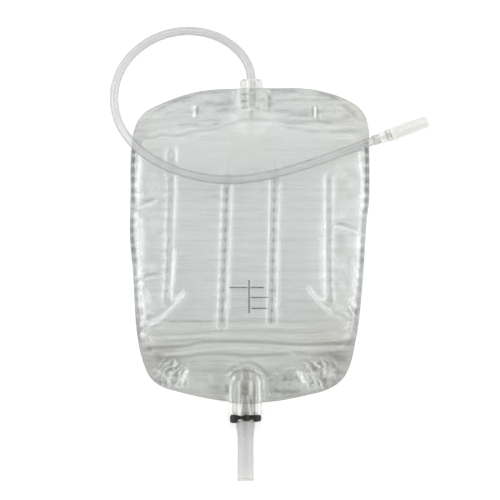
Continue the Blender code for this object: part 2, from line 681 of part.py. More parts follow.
bmesh.ops.recalc_face_normals(shape, faces=shape.faces)
shape.to_mesh(grip.data)
shape.free()
on_outlet(grip, DARK_RING)

# The soft tube, stretched over the nozzle at its upper end.
tube_top = GRIP_TO + 0.6
end = OUTLET_TUBE_END / MM
r_out, r_in = OUTLET_TUBE_R / MM, OUTLET_BORE_R / MM
outlet_tube = turned(
    "outlet_tube",
    [
        (r_in, end), (r_out, end), (6.15, 66.0), (6.2, 57.0), (6.5, 52.0), (7.25, 46.0),
        (7.4, tube_top + 0.5), (7.05, tube_top), (NOZZLE_R + 0.25, tube_top),
        (NOZZLE_R + 0.25, 52.9), (r_in, 57.0),
    ],
    32,
)
on_outlet(outlet_tube, MILKY)

for obj in parts.objects:
    if obj.type == "MESH" and obj.name not in ("front_film",):
        smooth(obj)
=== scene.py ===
import math

import bmesh
import bpy
import numpy as np
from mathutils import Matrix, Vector


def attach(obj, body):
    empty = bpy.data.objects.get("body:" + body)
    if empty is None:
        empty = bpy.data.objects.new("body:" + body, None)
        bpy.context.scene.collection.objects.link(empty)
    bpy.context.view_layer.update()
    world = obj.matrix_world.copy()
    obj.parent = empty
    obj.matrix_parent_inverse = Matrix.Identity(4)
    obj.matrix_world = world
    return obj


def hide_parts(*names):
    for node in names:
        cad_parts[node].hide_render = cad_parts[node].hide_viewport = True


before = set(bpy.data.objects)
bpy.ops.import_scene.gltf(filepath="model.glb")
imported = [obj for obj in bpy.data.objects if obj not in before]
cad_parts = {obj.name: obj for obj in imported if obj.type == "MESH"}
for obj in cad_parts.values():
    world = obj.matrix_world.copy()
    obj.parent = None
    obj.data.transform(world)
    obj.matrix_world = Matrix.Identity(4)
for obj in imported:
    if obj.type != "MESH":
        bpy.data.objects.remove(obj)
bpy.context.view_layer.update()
MM = 0.001

# ------------------------------------------------------------------ pattern
# The bag's pattern grid: 0.77 mm a step, x to the right, y down the bag.
GRID = 0.77 * MM
GRID_X0, GRID_Y0 = 249.65, 279.75


def grid(x, y):
    return (np.asarray(x, float) - GRID_X0) * GRID, (GRID_Y0 - np.asarray(y, float)) * GRID


FILM, GAP = 0.35 * MM, 0.30 * MM
FRONT_Z = 0.60 * MM
TUBE_R, BORE_R = 3.35 * MM, 2.40 * MM
PORT_X, PORT_TOP, PORT_END, NIPPLE_END = 251.2, 79.5, 111.0, 128.0
PORT_Z = 5.0 * MM
OUTLET_X, OUTLET_TOP = 245.6, 366.0
HOUSING_A, HOUSING_B, HOUSING_N = 12.4 * MM, 7.2 * MM, 2.6
OUTLET_Z = FILM + GAP + HOUSING_B
CONNECTOR = (373.0, 141.0)
CONNECTOR_ANGLE = math.radians(20.0)
CONNECTOR_Z = 5.55 * MM
RIB_PITCH, RIB_AT = 10.03, 190.2     # embossed ribs, in grid steps

CUT_LINE = [
    (252, 88.6), (278, 88.0), (303, 88.2), (326, 92), (345, 98.6), (358, 106.5),
    (365.5, 116), (368.6, 128), (368.9, 141), (369.5, 160), (369.7, 180),
    (369.2, 201), (367.2, 219), (365.6, 238), (364.6, 258), (363, 280),
    (361.2, 301), (358.6, 325), (355, 345), (350.6, 364), (342.5, 379.5),
    (328, 389.6), (302, 396.6), (280, 400.8), (262, 402.3), (245, 402.5),
    (228, 401.6), (205, 398.2), (178, 391.9), (161, 386.6), (150, 377.5),
    (142.6, 361), (138, 342), (135.6, 322), (134.2, 300), (132.8, 272),
    (130.6, 250), (129.6, 230), (130.0, 210), (130.3, 190), (130.3, 165),
    (131.2, 149), (133.3, 134), (137.4, 121.5), (145, 112), (158, 104.8),
    (177, 97.2), (194, 92.2), (213, 89.4), (232, 88.8),
]
RESERVOIR = [
    (252, 118.5), (280, 119.8), (308, 122.6), (333, 126.5), (352, 131.5),
    (362, 140), (364.4, 156), (364.6, 180), (364.2, 201), (362.2, 219),
    (360.6, 238), (359.6, 258), (358, 280), (356.2, 300), (353.4, 323),
    (347.5, 343), (334, 355.5), (310, 361.5), (285, 365.5), (264, 368),
    (245.6, 368), (227, 368), (206, 366), (184, 362.5), (160, 357),
    (147.5, 345.5), (141.8, 325), (139.4, 300), (138, 272), (135.6, 250),
    (134.6, 230), (135.0, 210), (135.3, 190), (135.3, 165), (136.6, 148),
    (142, 137.5), (156, 132), (178, 127), (203, 122.6), (228, 119.6),
]
SEAMS = [
    (171.0, 152.0, 166.6, 303.0),
    (227.3, 176.0, 221.8, 326.0),
    (274.9, 172.0, 271.6, 321.0),
    (329.8, 178.0, 330.0, 301.0),
]
SLOTS = [(194.3, 110.8, 0.0), (315.2, 111.6, 0.0), (184.6, 375.6, -25.0), (302.4, 377.4, 25.0)]
SLOT_LENGTH, SLOT_WIDTH = 10.0 * MM, 1.9 * MM

# The inlet tube's route: grid x, grid y, height of its centre in mm.
ROUTE = [
    (251.2, 106.0, 5.0), (251.2, 97.5, 5.0), (251.2, 87.3, 5.0), (251.1, 79.0, 5.0),
    (250.0, 70.8, 4.8), (246.2, 61.2, 4.3), (237.1, 49.6, 3.65), (223.6, 39.6, 3.4), (208.1, 33.5, 3.4),
    (187.6, 30.9, 3.4), (167.0, 33.8, 3.4), (151.6, 40.0, 3.4), (137.8, 49.2, 3.4),
    (126.4, 61.3, 3.4), (119.0, 74.0, 3.4), (114.6, 89.8, 3.4), (114.2, 104.4, 3.4),
    (118.0, 120.5, 3.7), (124.7, 133.3, 4.7), (133.9, 144.5, 6.25), (146.4, 155.1, 8.2),
    (162.4, 164.7, 10.0), (177.6, 171.2, 11.0), (193.6, 175.9, 11.5), (212.0, 179.2, 11.6),
    (232.8, 180.2, 11.6), (251.4, 178.6, 11.6), (269.9, 175.3, 11.4), (288.0, 170.8, 11.0),
    (307.9, 164.8, 10.2), (327.5, 157.9, 8.85), (344.9, 151.4, 7.3), (360.5, 145.6, 6.1),
    (373.0, 141.0, 5.55), (380.0, 138.45, 5.55),
]


def through(points, per_span, closed):
    """Centripetal Catmull-Rom through the points."""
    p = np.array(points, float)
    n = len(p)
    if closed:
        q, spans = np.vstack([p[-1], p, p[0], p[1]]), n
    else:
        q, spans = np.vstack([2 * p[0] - p[1], p, 2 * p[-1] - p[-2]]), n - 1
    out = []
    for i in range(spans):
        a, b, c, d = q[i], q[i + 1], q[i + 2], q[i + 3]
        t0 = 0.0
        t1 = t0 + np.linalg.norm(b - a) ** 0.5
        t2 = t1 + np.linalg.norm(c - b) ** 0.5
        t3 = t2 + np.linalg.norm(d - c) ** 0.5
        for k in range(per_span):
            t = t1 + (t2 - t1) * k / per_span
            a1 = (t1 - t) / (t1 - t0) * a + (t - t0) / (t1 - t0) * b
            a2 = (t2 - t) / (t2 - t1) * b + (t - t1) / (t2 - t1) * c
            a3 = (t3 - t) / (t3 - t2) * c + (t - t2) / (t3 - t2) * d
            b1 = (t2 - t) / (t2 - t0) * a1 + (t - t0) / (t2 - t0) * a2
            b2 = (t3 - t) / (t3 - t1) * a2 + (t - t1) / (t3 - t1) * a3
            out.append((t2 - t) / (t2 - t1) * b1 + (t - t1) / (t2 - t1) * b2)
    if not closed:
        out.append(p[-1])
    return np.array(out)


def even(line, count):
    along = np.concatenate([[0], np.cumsum(np.linalg.norm(np.diff(line, axis=0), axis=1))])
    at = np.linspace(0, along[-1], count)
    return np.stack([np.interp(at, along, line[:, k]) for k in range(line.shape[1])], 1)


def faired(line, stiff=60.0, hold=((0, 20), (-6, None))):
    """The evenly spaced line with its kinks in curvature smoothed out."""
    n = len(line)
    third = np.zeros((n - 3, n))
    for i in range(n - 3):
        third[i, i : i + 4] = [-1, 3, -3, 1]
    weight = np.ones(n)
    for a, b in hold:
        weight[a:b] = 400.0
    return np.linalg.solve(np.diag(weight) + stiff * third.T @ third, weight[:, None] * line)


def to_line(points, line, closed):
    """Distance from a polyline, the nearest piece, the share along it and the side."""
    a, b = (line, np.roll(line, -1, axis=0)) if closed else (line[:-1], line[1:])
    best = np.full(len(points), np.inf)
    which, share, turn = np.zeros(len(points), int), np.zeros(len(points)), np.zeros(len(points))
    for i in range(len(a)):
        d = b[i] - a[i]
        r = points - a[i]
        t = np.clip((r @ d) / max(d @ d, 1e-18), 0, 1)
        far = np.linalg.norm(r - t[:, None] * d, axis=1)
        near = far < best
        best[near], which[near], share[near] = far[near], i, t[near]
        turn[near] = (d[0] * r[near, 1] - d[1] * r[near, 0])
    return best, which, share, np.sign(turn)


def inside(points, loop):
    x, y = points[:, 0], points[:, 1]
    hit = np.zeros(len(points), bool)
    for (x1, y1), (x2, y2) in zip(loop, np.roll(loop, -1, axis=0)):
        if y1 != y2:
            hit ^= ((y1 > y) != (y2 > y)) & (x < (x2 - x1) * (y - y1) / (y2 - y1) + x1)
    return hit


def eased(t):
    t = np.clip(t, 0, 1)
    return t * t * (3 - 2 * t)


def hill(d, w):
    return np.exp(-((d / w) ** 2))


class Waves:
    """Smooth value noise on a seeded lattice, the same on every run."""

    def __init__(self, seed):
        self.table = np.random.default_rng(seed).random((64, 64)) * 2 - 1

    def __call__(self, x, y):
        xi, yi = np.floor(x).astype(int), np.floor(y).astype(int)
        fx, fy = x - xi, y - yi
        fx, fy = fx * fx * (3 - 2 * fx), fy * fy * (3 - 2 * fy)
        t = self.table
        a, b = t[xi % 64, yi % 64], t[(xi + 1) % 64, yi % 64]
        c, d = t[xi % 64, (yi + 1) % 64], t[(xi + 1) % 64, (yi + 1) % 64]
        return (a * (1 - fx) + b * fx) * (1 - fy) + (c * (1 - fx) + d * fx) * fy


CUT = np.stack(grid(*through(CUT_LINE, 10, True).T), 1)
POUCH = np.stack(grid(*through(RESERVOIR, 6, True).T), 1)
route = through([(*np.array(grid(x, y)), z * MM) for x, y, z in ROUTE], 10, False)
TUBE_PATH = faired(even(route, 330))
CROSSING = TUBE_PATH[int(330 * 0.47) :]


# ------------------------------------------------------------------- camera
camera_data = bpy.data.cameras.new("camera")
camera = bpy.data.objects.new("camera", camera_data)
bpy.context.scene.collection.objects.link(camera)
cx, cy = grid(250, 250)
camera.location = (float(cx), float(cy), 1.60)
camera.rotation_euler = (0, 0, 0)
camera_data.sensor_width = 36
camera_data.lens = 36 * (1.60 - 0.004) / (500 * GRID)
camera_data.clip_start = 0.01
bpy.context.scene.camera = camera


# ---------------------------------------------------------------- materials
def new_material(name):
    made = bpy.data.materials.new(name)
    made.use_nodes = True
    made.node_tree.nodes.clear()
    return made, Nodes(made.node_tree)


class Nodes:
    """Short hands for building a node tree."""

    def __init__(self, tree):
        self.tree = tree

    def add(self, kind, inputs=None, **settings):
        node = self.tree.nodes.new(kind)
        for key, value in settings.items():
            setattr(node, key, value)
        for key, value in (inputs or {}).items():
            self.put(node.inputs[key], value)
        return node

    def put(self, socket, value):
        if isinstance(value, bpy.types.NodeSocket):
            self.tree.links.new(value, socket)
        elif isinstance(value, bpy.types.Node):
            self.tree.links.new(value.outputs[0], socket)
        else:
            socket.default_value = value

    def math(self, operation, a, b=None, c=None, clamp=False):
        node = self.add("ShaderNodeMath", operation=operation, use_clamp=clamp)
        for i, value in enumerate((a, b, c)):
            if value is not None:
                self.put(node.inputs[i], value)
        return node.outputs[0]

    def ramp(self, value, low, high, a=0.0, b=1.0, kind="SMOOTHSTEP"):
        node = self.add("ShaderNodeMapRange", interpolation_type=kind, clamp=True)
        for i, v in enumerate((value, low, high, a, b)):
            self.put(node.inputs[i], v)
        return node.outputs[0]

    def attribute(self, name):
        return self.add("ShaderNodeAttribute", attribute_name=name).outputs["Fac"]

    def place(self):
        return self.add("ShaderNodeTexCoord").outputs["Object"]

    def axis(self, vector, k):
        return self.add("ShaderNodeSeparateXYZ", {0: vector}).outputs[k]

    def noise(self, scale, detail=2.0, stretch=(1, 1, 1), rough=0.5):
        scaled = self.add("ShaderNodeMapping", {"Vector": self.place(), "Scale": stretch})
        made = self.add("ShaderNodeTexNoise", {"Vector": scaled.outputs[0], "Scale": scale, "Detail": detail, "Roughness": rough})
        return made.outputs[0]

    def mix(self, share, a, b):
        node = self.add("ShaderNodeMixShader")
        self.put(node.inputs[0], share)
        self.put(node.inputs[1], a)
        self.put(node.inputs[2], b)
        return node.outputs[0]

    def colours(self, share, a, b):
        node = self.add("ShaderNodeMix", data_type="RGBA")
        self.put(node.inputs["Factor"], share)
        self.put(node.inputs["A"], (*a, 1.0) if isinstance(a, tuple) else a)
        self.put(node.inputs["B"], (*b, 1.0) if isinstance(b, tuple) else b)
        return node.outputs["Result"]

    def bump(self, height, strength=1.0, distance=0.001, normal=None):
        inputs = {"Height": height, "Strength": strength, "Distance": distance}
        if normal is not None:
            inputs["Normal"] = normal
        return self.add("ShaderNodeBump", inputs).outputs[0]

    def slope(self, normal=None):
        """0 where the surface faces the eye, 1 where it is seen edge on."""
        node = self.add("ShaderNodeLayerWeight", {"Blend": 0.5})
        if normal is not None:
            self.put(node.inputs["Normal"], normal)
        return node.outputs["Facing"]

    def schlick(self, slope, least, most=1.0, power=5.0):
        raised = self.math("POWER", slope, power)
        return self.math("MULTIPLY_ADD", raised, most - least, least, clamp=True)

    def out(self, shader):
        self.add("ShaderNodeOutputMaterial", {"Surface": shader})


def film_material(name, tint, gloss, dots_dark, streaks, ticks=False):
    """Thin clear PVC film: clear, glossy, with embossed ribs, painted highlights beside the welds,
    painted shade in dark points where the ribs meet a weld, and fine creases across the bag."""
    made, n = new_material(name)
    place = n.place()
    x, y = n.axis(place, 0), n.axis(place, 1)
    # distance from the nearest groove between two ribs, in grid steps
    row = n.math("MULTIPLY_ADD", y, -1 / GRID, GRID_Y0 - RIB_AT + RIB_PITCH * 40)
    warp = n.math("MULTIPLY_ADD", n.noise(16, 1.0, (0.7, 1, 1)), 3.0, -1.5)
    near = n.math("PINGPONG", n.math("ADD", row, warp), RIB_PITCH / 2)
    straight = n.math("PINGPONG", row, RIB_PITCH / 2)
    groove = n.ramp(near, 0.2, 2.6, 1.0, 0.0)
    at_rib = n.ramp(straight, 1.0, 3.6, 1.0, 0.0)

    edge, pouch, seam = n.attribute("edge_mm"), n.attribute("pouch_mm"), n.attribute("seam_mm")
    smooth, side, crumple = n.attribute("smooth"), n.attribute("side"), n.attribute("crumple")
    white, shadow = n.attribute("white"), n.attribute("shadow")
    plain = n.math("MULTIPLY_ADD", n.attribute("quiet"), -0.8, 1.0)

    streak = n.noise(120, 3.0, (0.10, 1.3, 1), 0.55)
    crepe = n.noise(75, 2.0, (0.55, 1.5, 1), 0.5)
    fine = n.noise(520, 2.0, (0.6, 1, 1), 0.5)
    relief = n.math("MULTIPLY", crepe, n.math("MULTIPLY_ADD", crumple, 1.1, 0.35))
    relief = n.math("MULTIPLY_ADD", streak, 0.55, relief)
    relief = n.math("MULTIPLY_ADD", fine, 0.10, relief)
    relief = n.math("MULTIPLY_ADD", groove, n.math("MULTIPLY_ADD", smooth, 0.06, -0.08), relief)
    normal = n.bump(relief, 0.45, 0.0006)
    slope = n.slope(normal)

    # painted shade: dark points along the welds, and dashes along the outer rim
    off = n.math("ABSOLUTE", seam)
    column = n.math("MULTIPLY", n.ramp(off, 0.35, 1.35, 1.0, 0.0), n.math("MULTIPLY", n.ramp(x, -0.052, -0.046, 0.45, 1.0, "LINEAR"), n.ramp(x, 0.046, 0.052, 1.0, 0.40, "LINEAR")))
    dots = n.math("MULTIPLY", column, n.math("MULTIPLY_ADD", at_rib, 0.62, 0.38))
    rim = n.math("MULTIPLY", n.ramp(edge, 0.0, 0.6), n.ramp(edge, 3.0, 4.6, 1.0, 0.0))
    dashes = n.math("MULTIPLY", n.math("MULTIPLY", rim, side), n.math("MULTIPLY_ADD", n.ramp(straight, 1.8, 4.4, 1.0, 0.0), 0.62, 0.38))
    cut = n.ramp(edge, 0.15, 0.75, 1.0, 0.0)

    dark = n.math("MULTIPLY", n.math("MULTIPLY_ADD", dashes, 1.5, dots), dots_dark)
    dark = n.math("MULTIPLY_ADD", shadow, n.math("MULTIPLY_ADD", streak, 0.9, 0.55), dark)
    crush, flange = n.attribute("crush"), n.attribute("flange")
    # the lower corners are drawn into slanting ridges, given painted shade and painted highlights
    warp = n.math("MULTIPLY_ADD", n.noise(85, 3.0, (1, 1.2, 1)), 22.0, -11.0)
    slant = n.math("MULTIPLY_ADD", n.math("ABSOLUTE", x), 1150.0, n.math("MULTIPLY_ADD", y, 560.0, warp))
    ridge = n.math("MULTIPLY", n.math("SINE", slant), n.ramp(n.noise(190, 2.0), 0.32, 0.60, 0.15, 1.0))
    # faint creases across the chambers, given painted shade and painted highlights
    wisp = n.noise(300, 3.0, (0.085, 1.5, 1), 0.55)
    calm = n.math("MULTIPLY_ADD", smooth, -0.45, 1.0)
    drawn = n.noise(150, 3.0, (0.30, 1.1, 1), 0.6)
    dark = n.math("MULTIPLY_ADD", crush, n.ramp(ridge, -0.10, -0.90, 0.0, 0.12), dark)
    dark = n.math("MULTIPLY_ADD", calm, n.ramp(wisp, 0.48, 0.76, 0.0, 0.042), dark)
    dark = n.math("MULTIPLY_ADD", flange, n.ramp(drawn, 0.50, 0.72, 0.0, 0.05), dark)
    dark = n.math("MULTIPLY_ADD", n.ramp(streak, 0.50, 0.72), n.math("MULTIPLY_ADD", crumple, 1.3 * streaks, streaks), dark)
    # painted shade in the grooves between the ribs and along the cut edge
    dark = n.math("MULTIPLY_ADD", groove, n.math("MULTIPLY_ADD", smooth, -0.010, 0.012), dark)
    dark = n.math("MULTIPLY_ADD", cut, 0.16, dark)
    dark = n.math("MULTIPLY_ADD", n.math("MULTIPLY", n.ramp(slope, 0.10, 0.60, 0.0, 1.0, "LINEAR"), plain), 0.10, dark, clamp=True)
    # painted highlights beside the welds, rims and folds, on the corner ridges and on the faint creases
    painted_highlight = n.math("MULTIPLY", white, n.math("MULTIPLY_ADD", n.noise(210, 2.0, (0.8, 0.8, 1), 0.5), 0.9, 0.55))
    painted_highlight = n.math("MULTIPLY_ADD", crush, n.ramp(ridge, 0.20, 0.95, 0.0, 0.36), painted_highlight)
    painted_highlight = n.math("MULTIPLY_ADD", calm, n.ramp(wisp, 0.52, 0.26, 0.0, 0.045), painted_highlight)
    painted_highlight = n.math("MULTIPLY_ADD", flange, n.ramp(drawn, 0.50, 0.28, 0.0, 0.12), painted_highlight, clamp=True)

    tone = n.colours(n.ramp(crumple, 0.1, 0.9), (0.115, 0.125, 0.12), (0.16, 0.155, 0.135))
    shade = n.add("ShaderNodeBsdfPrincipled", {"Base Color": tone, "Roughness": 0.35, "Specular IOR Level": 0.3, "Normal": normal})
    highlight_shader = n.add("ShaderNodeBsdfPrincipled", {"Base Color": (0.93, 0.95, 0.945, 1), "Roughness": 0.3, "Specular IOR Level": 0.4, "Normal": normal})
    if ticks:
        # printed volume marks: a plain line with its ticks
        px = n.math("MULTIPLY_ADD", x, 1 / GRID, GRID_X0)
        py = n.math("MULTIPLY_ADD", y, -1 / GRID, GRID_Y0)
        marks = None
        for x1, x2, y1, y2 in (
            (248.4, 249.7, 280.0, 313.0), (229.5, 247.4, 286.9, 288.1), (250.3, 264.0, 286.8, 288.0),
            (250.5, 268.0, 296.8, 298.0), (251.6, 267.0, 307.7, 308.9),
        ):
            inside_x = n.ramp(n.math("ABSOLUTE", n.math("SUBTRACT", px, (x1 + x2) / 2)), (x2 - x1) / 2 - 0.15, (x2 - x1) / 2 + 0.25, 1.0, 0.0)
            inside_y = n.ramp(n.math("ABSOLUTE", n.math("SUBTRACT", py, (y1 + y2) / 2)), (y2 - y1) / 2 - 0.15, (y2 - y1) / 2 + 0.25, 1.0, 0.0)
            mark = n.math("MULTIPLY", inside_x, inside_y)
            marks = mark if marks is None else n.math("MAXIMUM", marks, mark)
        worn = n.math("MULTIPLY", marks, n.ramp(n.noise(900, 2.0), 0.25, 0.5, 0.35, 0.62))
        dark = n.math("MAXIMUM", dark, worn)
    # the film is greyer and warmer towards the bottom, and warmer at the right
    def toned(dim, warm):
        return tuple(t * (1 - 0.035 * dim) * (1 + warm * k) for t, k in zip(tint, (0.004, -0.001, -0.0085)))

    dim, warm = n.attribute("dim"), n.attribute("warm")
    tinted = n.colours(warm, n.colours(dim, toned(0, 0), toned(2, 0)), n.colours(dim, toned(0, 1), toned(2, 1)))
    clear = n.add("ShaderNodeBsdfTransparent", {"Color": tinted})
    body = n.mix(painted_highlight, clear, highlight_shader)
    body = n.mix(dark, body, shade)
    shine = n.add("ShaderNodeBsdfGlossy", {"Color": (1, 1, 1, 1), "Roughness": 0.13, "Normal": normal})
    n.out(n.mix(n.math("MULTIPLY", n.schlick(slope, gloss, 0.62, 3.8), plain), body, shine))
    return made


def tube_material(name, colour, edge_colour, cover, edge_cover, gloss=0.06):
    """Extruded clear tube: faint lines along its length, denser at its sides."""
    made, n = new_material(name)
    spin, along = n.attribute("spin"), n.attribute("along")
    place = n.add("ShaderNodeCombineXYZ", {0: n.math("SINE", spin), 1: n.math("COSINE", spin), 2: n.math("MULTIPLY", along, 1.4)})
    lines = n.add("ShaderNodeTexNoise", {"Vector": place, "Scale": 2.6, "Detail": 2.0}).outputs[0]
    cloudy = n.noise(70, 2.0)
    normal = n.bump(lines, 0.010, 0.0005)
    slope = n.slope(normal)
    amount = n.ramp(slope, 0.10, 0.50, cover, edge_cover, "LINEAR")
    tone = n.colours(n.ramp(slope, 0.12, 0.50), colour, edge_colour)
    amount = n.math("MULTIPLY_ADD", n.math("SUBTRACT", cloudy, 0.5), 0.10, amount)
    amount = n.math("MULTIPLY_ADD", n.math("SUBTRACT", lines, 0.5), 0.014, amount)
    near_port = n.math("MULTIPLY", n.ramp(along, 0.025, 0.085, 0.11, 0.0, "LINEAR"), n.ramp(along, 0.015, 0.023, -0.5, 1.0, "LINEAR"))
    amount = n.math("ADD", amount, near_port)
    amount = n.math("ADD", amount, n.ramp(along, 0.33, 0.385, 0.0, -0.09, "LINEAR"), clamp=True)
    solid = n.add("ShaderNodeBsdfPrincipled", {"Base Color": tone, "Roughness": 0.35, "Specular IOR Level": 0.3, "Normal": normal})
    clear = n.add("ShaderNodeBsdfTransparent", {"Color": (0.975, 0.978, 0.978, 1)})
    shine = n.add("ShaderNodeBsdfGlossy", {"Color": (1, 1, 1, 1), "Roughness": 0.20, "Normal": normal})
    n.out(n.mix(n.schlick(slope, gloss, 0.40, 4.5), n.mix(amount, clear, solid), shine))
    return made


def leaf_material():
    """The valve's two leaves: the thinnest film, all but invisible inside the bag."""
    made, n = new_material("valve_film")
    cloud = n.noise(90, 2.0)
    clear = n.add("ShaderNodeBsdfTransparent", {"Color": (0.998, 1.0, 0.999, 1)})
    film = n.add("ShaderNodeBsdfPrincipled", {"Base Color": (0.85, 0.87, 0.87, 1), "Roughness": 0.2, "Normal": n.bump(cloud, 0.1, 0.0003)})
    n.out(n.mix(n.ramp(cloud, 0.3, 0.7, 0.004, 0.012), clear, film))
    return made


def paint_material(name, colour, cover, dark_colour, relief=0.08, scale=260, stretch=(1, 0.25, 1), roughness=0.08, gloss=0.07, through=0.975, uneven=0.30, rim=0.30, mirror=0.60):
    """Clear moulded plastic on a light ground: greyish in its thickness, with painted highlights
    on its ridges and painted shade in its hollows where the moulding is ribbed."""
    made, n = new_material(name)
    grain = n.noise(scale, 2.0, stretch)
    lines = n.noise(scale * 2.2, 2.0, (stretch[0], stretch[1] * 0.4, stretch[2]))
    normal = n.bump(n.math("ADD", grain, n.math("MULTIPLY", lines, 0.5)), relief, 0.0004)
    slope = n.slope(normal)
    # the painted highlight field, and deep: painted shade, and on the outlet tube also a darker tone towards its top
    painted_highlight, deep = n.attribute("painted_highlight"), n.attribute("deep")
    amount = n.math("MULTIPLY_ADD", n.math("POWER", slope, 1.6), rim, cover)
    amount = n.math("MULTIPLY_ADD", n.math("SUBTRACT", lines, 0.5), uneven, amount)
    amount = n.math("MULTIPLY_ADD", deep, 0.55, amount, clamp=True)
    tone = n.colours(deep, colour, dark_colour)
    solid = n.add("ShaderNodeBsdfPrincipled", {"Base Color": tone, "Roughness": 0.3, "Specular IOR Level": 0.4, "Normal": normal})
    clear = n.add("ShaderNodeBsdfTransparent", {"Color": (through, through, through * 0.99, 1)})
    highlight_shader = n.add("ShaderNodeBsdfPrincipled", {"Base Color": (0.93, 0.93, 0.91, 1), "Roughness": 0.25, "Normal": normal})
    shine = n.add("ShaderNodeBsdfGlossy", {"Color": (1, 1, 1, 1), "Roughness": roughness, "Normal": normal})
    body = n.mix(n.math("MULTIPLY", painted_highlight, 0.85, clamp=True), n.mix(amount, clear, solid), highlight_shader)
    n.out(n.mix(n.schlick(slope, gloss, mirror, 4.0), body, shine))
    return made


def solid_material(name, colour, dark_colour, roughness, relief, scale, stretch=(1, 1, 1), subsurface=0.0, coat=0.0, specular=0.5):
    """Opaque moulded plastic or rubber with a fine grain and uneven tone."""
    made, n = new_material(name)
    grain = n.noise(scale, 3.0, stretch, 0.6)
    broad = n.ramp(n.noise(scale * 0.12, 3.0, stretch), 0.3, 0.7)
    inputs = {
        "Base Color": n.colours(broad, dark_colour, colour),
        "Roughness": n.ramp(grain, 0.2, 0.8, roughness * 0.8, roughness * 1.25, "LINEAR"),
        "Normal": n.bump(grain, relief, 0.0003),
        "Coat Weight": coat,
        "Specular IOR Level": specular,
        "Coat Roughness": 0.25,
    }
    if subsurface:
        inputs["Subsurface Weight"] = subsurface
        inputs["Subsurface Radius"] = (0.002, 0.002, 0.0018)
        inputs["Subsurface Scale"] = 1.0
    n.out(n.add("ShaderNodeBsdfPrincipled", inputs).outputs[0])
    return made


FRONT_FILM = film_material("front_film_pvc", (0.948, 0.9562, 0.9536), 0.040, 0.155, 0.018, True)
BACK_FILM = film_material("back_film_pvc", (0.954, 0.9588, 0.9572), 0.024, 0.05, 0.008)
LEAF_FILM = leaf_material()
TUBE_PVC = tube_material("tube_pvc", (0.705, 0.707, 0.702), (0.40, 0.402, 0.400), 0.155, 0.46, 0.026)
PORT_PVC = paint_material("port_pvc", (0.42, 0.43, 0.43), 0.06, (0.20, 0.205, 0.205), 0.10, 300, (1, 0.6, 1), 0.08, 0.07, 0.985)
NIPPLE_PVC = paint_material("port_nipple_pvc", (0.66, 0.68, 0.675), 0.0, (0.3, 0.3, 0.3), 0.06, 300, (1, 0.6, 1), 0.2, 0.01, 0.997, 0.06, 0.04, 0.10)
MILKY = paint_material("outlet_tube_pvc", (0.61, 0.602, 0.620), 0.03, (0.325, 0.318, 0.331), 0.06, 130, (1.6, 0.25, 1.6), 0.36, 0.02, 0.985, 0.05, 0.30, 0.45)
RIGID = paint_material("rigid_clear", (0.47, 0.472, 0.445), 0.30, (0.10, 0.10, 0.085), 0.12, 420, (1, 0.07, 1), 0.05, 0.07, 0.975, 0.85)
STEM = paint_material("rigid_clear_stem", (0.50, 0.505, 0.48), 0.01, (0.1, 0.1, 0.09), 0.08, 260, (1, 0.2, 1), 0.15, 0.02, 0.992, 0.15, 0.14, 0.15)
RIGID_2 = paint_material("rigid_clear_connector", (0.50, 0.505, 0.485), 0.05, (0.20, 0.20, 0.185), 0.12, 320, (1, 1, 1), 0.07, 0.05, 0.99, 0.20, 0.24)
CAP = paint_material("cap_polythene", (0.92, 0.925, 0.895), 0.60, (0.50, 0.50, 0.47), 0.10, 500, (1, 1, 1), 0.20, 0.04, 0.985, 0.12)
SEAL = solid_material("seal_rubber", (0.56, 0.56, 0.54), (0.46, 0.46, 0.44), 0.5, 0.3, 1500)
# the grip ring: its near black colour is painted shade, standing for the dark refraction at the housing's lower edge
GRIP_SHADE = solid_material("grip_ring_painted_shade", (0.013, 0.014, 0.011), (0.006, 0.007, 0.005), 0.45, 0.35, 900, (1, 1, 1), 0.0, 0.02, 0.28)


# ------------------------------------------------------------ film geometry
CORNERS = {"bl": (149.0, 376.3), "br": (345.5, 375.5), "tr": (362.0, 110.5), "tl": (141.2, 116.0)}


def side_of(start, end):
    a = np.argmin(np.linalg.norm(CUT - np.array(grid(*CORNERS[start])), axis=1))
    b = np.argmin(np.linalg.norm(CUT - np.array(grid(*CORNERS[end])), axis=1))
    return CUT[a : b + 1] if a <= b else np.vstack([CUT[a:], CUT[: b + 1]])


RIGHT, BOTTOM = side_of("tr", "br")[::-1], side_of("br", "bl")[::-1]
LEFT, TOP = side_of("bl", "tl"), side_of("tl", "tr")


def at_share(line, axis, share):
    value = line[0, axis] + share * (line[-1, axis] - line[0, axis])
    return np.stack([np.interp(value, line[:, axis], line[:, k]) for k in (0, 1)], -1)


def stretched(u, v):
    b, t = at_share(BOTTOM, 0, u), at_share(TOP, 0, u)
    l, r = at_share(LEFT, 1, v), at_share(RIGHT, 1, v)
    u, v = u[:, None], v[:, None]
    corners = (1 - u) * (1 - v) * BOTTOM[0] + u * (1 - v) * BOTTOM[-1] + (1 - u) * v * TOP[0] + u * v * TOP[-1]
    return (1 - v) * b + v * t + (1 - u) * l + u * r - corners


def spaced(count, low, high, thick):
    """count positions from low to high, closer together where thick(position) is large."""
    x = np.linspace(low, high, 2000)
    weight = np.concatenate([[0], np.cumsum((thick(x)[1:] + thick(x)[:-1]) / 2)])
    return np.interp(np.linspace(0, weight[-1], count), weight, x)


def rib_shape(rows):
    """0 in the groove between two ribs, 1 on top of a rib."""
    return np.sqrt(np.abs(np.sin(np.pi * (rows - RIB_AT) / RIB_PITCH)) + 1e-9)


